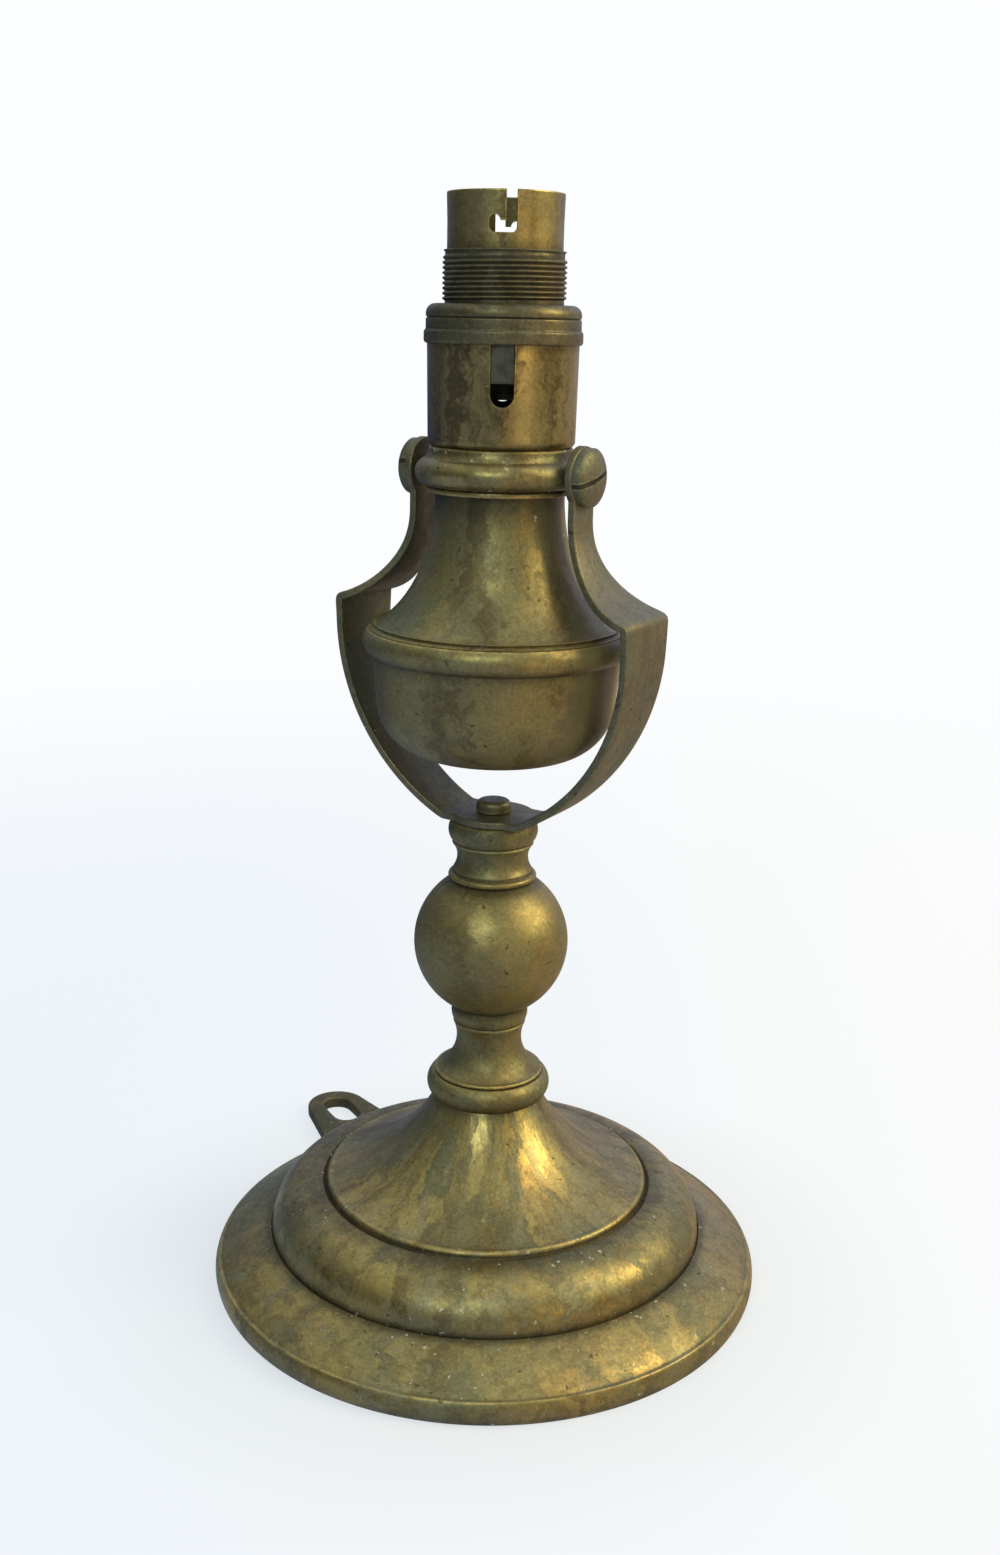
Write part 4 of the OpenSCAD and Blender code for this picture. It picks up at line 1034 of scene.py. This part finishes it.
boss_w = 2 * np.sqrt((boss_r**2 - x**2).clip(0)) * (z < column_z + boss_h)
ear_w = 2 * np.sqrt((ear_r**2 - (z - pivot_z) ** 2).clip(0))
half_w = np.where(z > pivot_z, ear_w, np.maximum(np.maximum(half_w, boss_w), ear_w))
yoke_path = np.concatenate([half_path[:0:-1] * [-1, 1], half_path])
yoke_width = np.concatenate([half_w[:0:-1], half_w])
strip("yoke_strip", yoke_path, yoke_width, yoke_t, strip_edge, "yoke", "dark_brass", ["yoke"], yoke_brass)

# Yoke screw: round head on its shoulder
head_z = column_z + yoke_t + head_clear
head_top_z = head_z + yoke_head_h
shank_z = column_z - yoke_shank_l
yoke_screw_outline = run(
    (0, shank_z), (yoke_shank_r, shank_z), (yoke_shank_r, column_z), (yoke_shoulder_r, column_z),
    (yoke_shoulder_r, head_z), (yoke_head_r, head_z),
    circle((yoke_head_r - yoke_head_edge, head_top_z - yoke_head_edge), yoke_head_edge, 0, np.pi / 2, n=16),
    (0, head_top_z),
)
turned("yoke_screw_head", yoke_screw_outline, "base", "dark_brass", ["yoke_screw"], screw_brass, sides=96)


def slotted_heads(name, radius, height, slot_w, slot_depth, lean, out, *role):
    """Two domed, slotted screw heads that face out along +X and -X.

    A head is a grid of straight columns across the slot: a column at offset a runs over the disc from
    edge to edge. Its height is a dome, less the slot's depth where a is within half the slot's width.
    The column's ends drop almost to the ear, and run back below to the middle.
    """
    steep, side_columns, rows = 0.06, 24, 41
    skirt, dome, fall = 0.4, 0.6, 0.94
    edge_wear, edge_reach = 1.6, 0.3
    outer = np.linspace(slot_w / 2 + steep, radius, side_columns)
    a = np.concatenate([-outer[::-1], [-slot_w / 2 + steep, 0, slot_w / 2 - steep], outer])[:, None]
    b = np.concatenate([[0, -1], np.sin(np.linspace(-np.pi / 2, np.pi / 2, rows)), [1, 0]])[None]
    y = b * np.sqrt((radius**2 - a**2).clip(0))
    away = (np.hypot(a, y) / radius).clip(0, 1)
    up = height * (skirt + dome * (np.sqrt((1 - fall * away**2).clip(0)) - np.sqrt(1 - fall)))
    beside = np.abs(a) - slot_w / 2
    up = np.minimum(up, height - np.where(beside < 0, slot_depth, 0))
    up[:, [0, 1, -2, -1]] = ear_gap - head_clear
    wear = edge_wear * np.exp(-((beside.clip(0) / edge_reach) ** 2)) * np.sign(beside)
    across = a * np.cos(lean) - y * np.sin(lean)
    rise = a * np.sin(lean) + y * np.cos(lean)
    heads = [np.stack([side * (out + up), side * across, pivot_z + rise], -1) for side in (1, -1)]
    faces = grid_faces(*y.shape, False, False)[:, ::-1]
    faces = np.concatenate([faces, faces + y.size])
    return piece(name, np.concatenate(heads), faces, *role, wear=np.concatenate([wear, wear]))


slotted_heads("pivot_heads", pivot_head_r, pivot_head_h, driver_slot, driver_depth, slot_lean,
              ear_x + head_clear, "lamp", "dark_brass", ["pivot_screws"], screw_brass)


def coil(name, node, wire_r, turns, material, sides=32, wire_sides=12):
    """Spring: a round wire carried along a helix between a node's lowest and highest points.

    At angle a the wire's middle stands at (c cos a, c sin a) from the node's middle, and rises evenly
    with a. Both ends close on the wire's middle.
    """
    (x0, y0, z0), (x1, y1, z1) = low(node), high(node)
    mid_x, mid_y = (x0 + x1) / 2, (y0 + y1) / 2
    angle = winding(turns, sides)
    thick = np.full_like(angle, wire_r)
    thick[[0, -1]] = 0
    around = round_turn(wire_sides)
    r = (x1 - x0) / 2 - wire_r + thick * np.cos(around)
    z = z0 + wire_r + (z1 - z0 - 2 * wire_r) * angle / angle[-1] + thick * np.sin(around)
    points = polar(r, angle, z) + [mid_x, mid_y, 0]
    faces = grid_faces(len(angle), wire_sides)[:, ::-1]
    made = piece(name, points, faces, "lamp", "spring_steel", [node], material)
    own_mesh(made)
    return made


for side in ("left", "right"):
    coil("coil_" + side, "spring_" + side, spring_wire_r, spring_turns,
         spring_wire)


def radii_of(outline, centre, angle):
    """Distance from a centre to a closed outline in each direction, between its points."""
    away = outline - centre
    at = np.arctan2(away[:, 1], away[:, 0])
    order = np.argsort(at)
    return np.interp(angle, at[order], np.linalg.norm(away, axis=1)[order], period=FULL)


def eye_plate(name, outside, hole, centre, floor, top, turn, *role, sides=180, section_sides=32):
    """Flat eye: a rounded square section carried round the hole, from the hole's edge to the outline.

    At angle a the section spans the hole's radius to the outline's, and a superellipse of power five
    rounds its edges.
    """
    angle = np.linspace(-np.pi, np.pi, sides, endpoint=False)[:, None]
    around = round_turn(section_sides)
    near = radii_of(hole, centre, angle)
    far = radii_of(outside, centre, angle)
    across, lift = (
        0.5 + 0.5 * np.sign(wave) * np.abs(wave) ** (2 / 5) for wave in (np.cos(around), np.sin(around))
    )
    r = near + (far - near) * across
    plan_x = centre[0] + r * np.cos(angle)
    plan_y = centre[1] + r * np.sin(angle)
    x = plan_x * np.cos(turn) - plan_y * np.sin(turn)
    y = plan_x * np.sin(turn) + plan_y * np.cos(turn)
    z = floor + (top - floor) * lift + 0 * r
    faces = grid_faces(sides, section_sides, True, True)[:, ::-1]
    return piece(name, np.stack([x, y, z], -1), faces, *role, wear=np.abs(np.sin(2 * around)) ** 3)


# Hanging loop: flat eye with a long hole, and a broad tang under the base
loop_span = low("hanging_loop")[2], high("hanging_loop")[2]
hole_r = loop_hole_w / 2
eye_r = loop_w / 2
eye_out = loop_end - eye_r
eye_in = eye_out - (loop_hole_l - loop_hole_w)
flank = np.arcsin((tang_w - loop_w) / 2 / (eye_out - tang_out))
loop_outside = even(run(
    (tang_in, -tang_w / 2),
    (tang_out, -tang_w / 2),
    circle((eye_out, 0), eye_r, -np.pi / 2 + flank, np.pi / 2 - flank),
    (tang_out, tang_w / 2),
    (tang_in, tang_w / 2),
    (tang_in, -tang_w / 2),
), 600)
loop_hole = even(run(
    circle((eye_out, 0), hole_r, -np.pi / 2, np.pi / 2),
    circle((eye_in, 0), hole_r, np.pi / 2, 3 * np.pi / 2),
    (eye_out, -hole_r),
), 400)
eye_plate("hanging_eye", loop_outside, loop_hole, np.array([(eye_in + eye_out) / 2, 0]), *loop_span,
          loop_turn, "base", "dark_brass", ["hanging_loop"], loop_brass)

# Camera: solved from the photograph, looking down a little, with a slight roll
CAMERA_AZIMUTH = np.radians(30)
CAMERA_PITCH = np.radians(15.29)
CAMERA_ROLL = np.radians(1.25)
CAMERA_AWAY = 0.349
CAMERA_HEIGHT = 0.214
CAMERA_ASIDE = 0.00125
CAMERA_LENS = 38.27
right = Vector((np.cos(CAMERA_AZIMUTH), np.sin(CAMERA_AZIMUTH), 0))
level = Vector((-np.sin(CAMERA_AZIMUTH), np.cos(CAMERA_AZIMUTH), 0))
ahead = level * np.cos(CAMERA_PITCH) - Vector((0, 0, np.sin(CAMERA_PITCH)))
upward = right.cross(ahead)
turned_right = right * np.cos(CAMERA_ROLL) + upward * np.sin(CAMERA_ROLL)
turned_up = upward * np.cos(CAMERA_ROLL) - right * np.sin(CAMERA_ROLL)
lens = bpy.data.cameras.new("camera")
lens.lens = CAMERA_LENS
lens.clip_start = 0.01
camera = placed("camera", lens)
camera.matrix_world = Matrix((turned_right, turned_up, -ahead)).transposed().to_4x4()
camera.location = right * CAMERA_ASIDE - level * CAMERA_AWAY + Vector((0, 0, CAMERA_HEIGHT))
bpy.context.scene.camera = camera


def floor_disc(radius, rings=60, sides=96):
    """Disc on a grid of rings and angles, with rings closer together near the lamp."""
    ring = np.linspace(0.001, 1, rings)[:, None] ** 2 * radius
    angle = round_turn(sides)
    points = polar(ring, angle, 0.0).reshape(-1, 3)
    mesh = bpy.data.meshes.new("floor")
    mesh.from_pydata(points.tolist(), [], grid_faces(rings, sides)[:, ::-1].tolist())
    made = placed("floor", mesh)
    return made


# Floor: a wide pale sheet, white far off, that the metal mirrors as a warm sheen on the right of the lamp
FLOOR_R = 8.0
WHITE = (0.975, 0.988, 1.0)
SHEET_PAINT = (0.62, 0.64, 0.68)
# Painted shade: the sheet the camera sees is bluer and darker to the left of the lamp
SHADED_SHEET_LEFT = (0.890, 0.935, 1.0)
SHEET_RIGHT = (1.0, 1.0, 1.0)
SHEEN_RIGHT = (0.52, 0.43, 0.35)
SHEEN_LEFT = (0.31, 0.39, 0.53)
SHEEN_BEHIND = (0.03, 0.05, 0.15)

# Spans of the floor in metres, then how much of its glow the camera sees there, if not nought to all
# Near the lamp the camera sees more of the darker paint: a ring of painted shade all round, with the real
# shadow in it
NEAR_GLOW_AND_SHADE = (0.055, 0.11, 0.76, 1.0)
FAR_GLOW = (0.1, 0.8, 0.88, 1.0)
SHEET_SHADE_ACROSS = (-0.15, 0.2)
SHEET_SHADE_OUT = (0.15, 0.7)
SHEEN_BACK = (0.05, 0.25)
SHEEN_ACROSS = (-0.02, 0.05)
floor = floor_disc(FLOOR_R)
floor_paint, paint, place = blank("floor paint")
paint.inputs["Base Color"].default_value = (*SHEET_PAINT, 1)
paint.inputs["Roughness"].default_value = 0.9
paint.inputs["Specular IOR Level"].default_value = 0.0
distance = vector("LENGTH", place)["Value"]
aside = vector("DOT_PRODUCT", place, tuple(right))["Value"]
behind = vector("DOT_PRODUCT", place, tuple(level))["Value"]
path = add("ShaderNodeLightPath", tree=floor_paint.node_tree).outputs
# Less glow near the lamp lets the darker paint show: painted shade round its foot
pale = sums("MULTIPLY", ramp(distance, *FAR_GLOW), ramp(distance, *NEAR_GLOW_AND_SHADE))
pale = sums("MULTIPLY", pale, path["Is Camera Ray"])
# Painted shade on the sheet: bluer and darker to the left, fading to white far off
shaded_sheet = mix(ramp(aside, *SHEET_SHADE_ACROSS), SHADED_SHEET_LEFT, SHEET_RIGHT)
shaded_sheet = mix(ramp(distance, *SHEET_SHADE_OUT), shaded_sheet, WHITE)
sheen = mix(ramp(behind, *SHEEN_BACK), SHEEN_LEFT, SHEEN_BEHIND)
sheen = mix(ramp(aside, *SHEEN_ACROSS), sheen, SHEEN_RIGHT)
seen = mix(path["Is Glossy Ray"], shaded_sheet, sheen)
glow = add("ShaderNodeEmission", Color=seen, Strength=1.0)
lit = sums("ADD", pale, path["Is Glossy Ray"], True)
blend = add("ShaderNodeMixShader", i0=lit, i1=paint.outputs[0], i2=glow.outputs[0])
connect(floor_paint.node_tree.nodes["Material Output"], {"Surface": blend.outputs[0]})
floor_paint.cycles.emission_sampling = "NONE"
floor.data.materials.append(floor_paint)

# Lights: square and soft, by bearing and height in degrees, width in metres, power in watts and colour
LIGHTS = {
    "window light": (85, 30, 0.5, 7.0, (1.0, 0.90, 0.45)),
    "high light": (75, 52, 0.35, 1.5, (1.0, 0.70, 0.40)),
    "low light": (65, 25, 0.3, 0.6, (1.0, 0.90, 0.60)),
    "side light": (34, 6, 0.4, 0.9, (1.0, 0.82, 0.48)),
    "near light": (-15, 30, 0.4, 3.2, (0.83, 1.0, 0.85)),
}
LIGHT_AWAY = 1.1
LIGHT_AIM = Vector((0, 0, 0.13))


def toward(azimuth, elevation):
    """Unit direction at a bearing to the right of the camera, as seen from the lamp, and a height."""
    bearing = np.radians(azimuth - 90) + CAMERA_AZIMUTH
    flat = np.cos(np.radians(elevation))
    return Vector((flat * np.cos(bearing), flat * np.sin(bearing), np.sin(np.radians(elevation))))


for light_name, (azimuth, elevation, width, power, colour) in LIGHTS.items():
    light = bpy.data.lights.new(light_name, "AREA")
    light.shape = "SQUARE"
    light.size = width
    light.energy = power
    light.color = colour
    stand = placed(light_name, light)
    stand.location = LIGHT_AIM + LIGHT_AWAY * toward(azimuth, elevation)
    stand.rotation_euler = toward(azimuth, elevation).to_track_quat("Z", "Y").to_euler()

# World: soft lobes of studio light by bearing, height, tightness and colour, and white to the camera
LOBES = (
    (-150, 15, 3, (0.11, 0.13, 0.22)),
    (150, 15, 3, (0.45, 0.50, 0.80)),
    (0, 88, 2, (0.86, 1.00, 0.92)),
)
world = bpy.data.worlds.new("studio")
bpy.context.scene.world = world
world.use_nodes = True
tree = world.node_tree
direction = add("ShaderNodeTexCoord", tree=tree).outputs["Generated"]
studio = (0, 0, 0)
for azimuth, elevation, tightness, colour in LOBES:
    near = vector("DOT_PRODUCT", direction, tuple(toward(azimuth, elevation)))["Value"]
    near = sums("POWER", sums("MAXIMUM", near, 0.0), tightness)
    lobe = vector("SCALE", colour, Scale=near)[0]
    studio = vector("ADD", studio, lobe)[0]
camera_ray = add("ShaderNodeLightPath", tree=tree).outputs["Is Camera Ray"]
connect(tree.nodes["Background"], {"Color": mix(camera_ray, studio, WHITE)})

bpy.context.scene.view_settings.view_transform = "Standard"
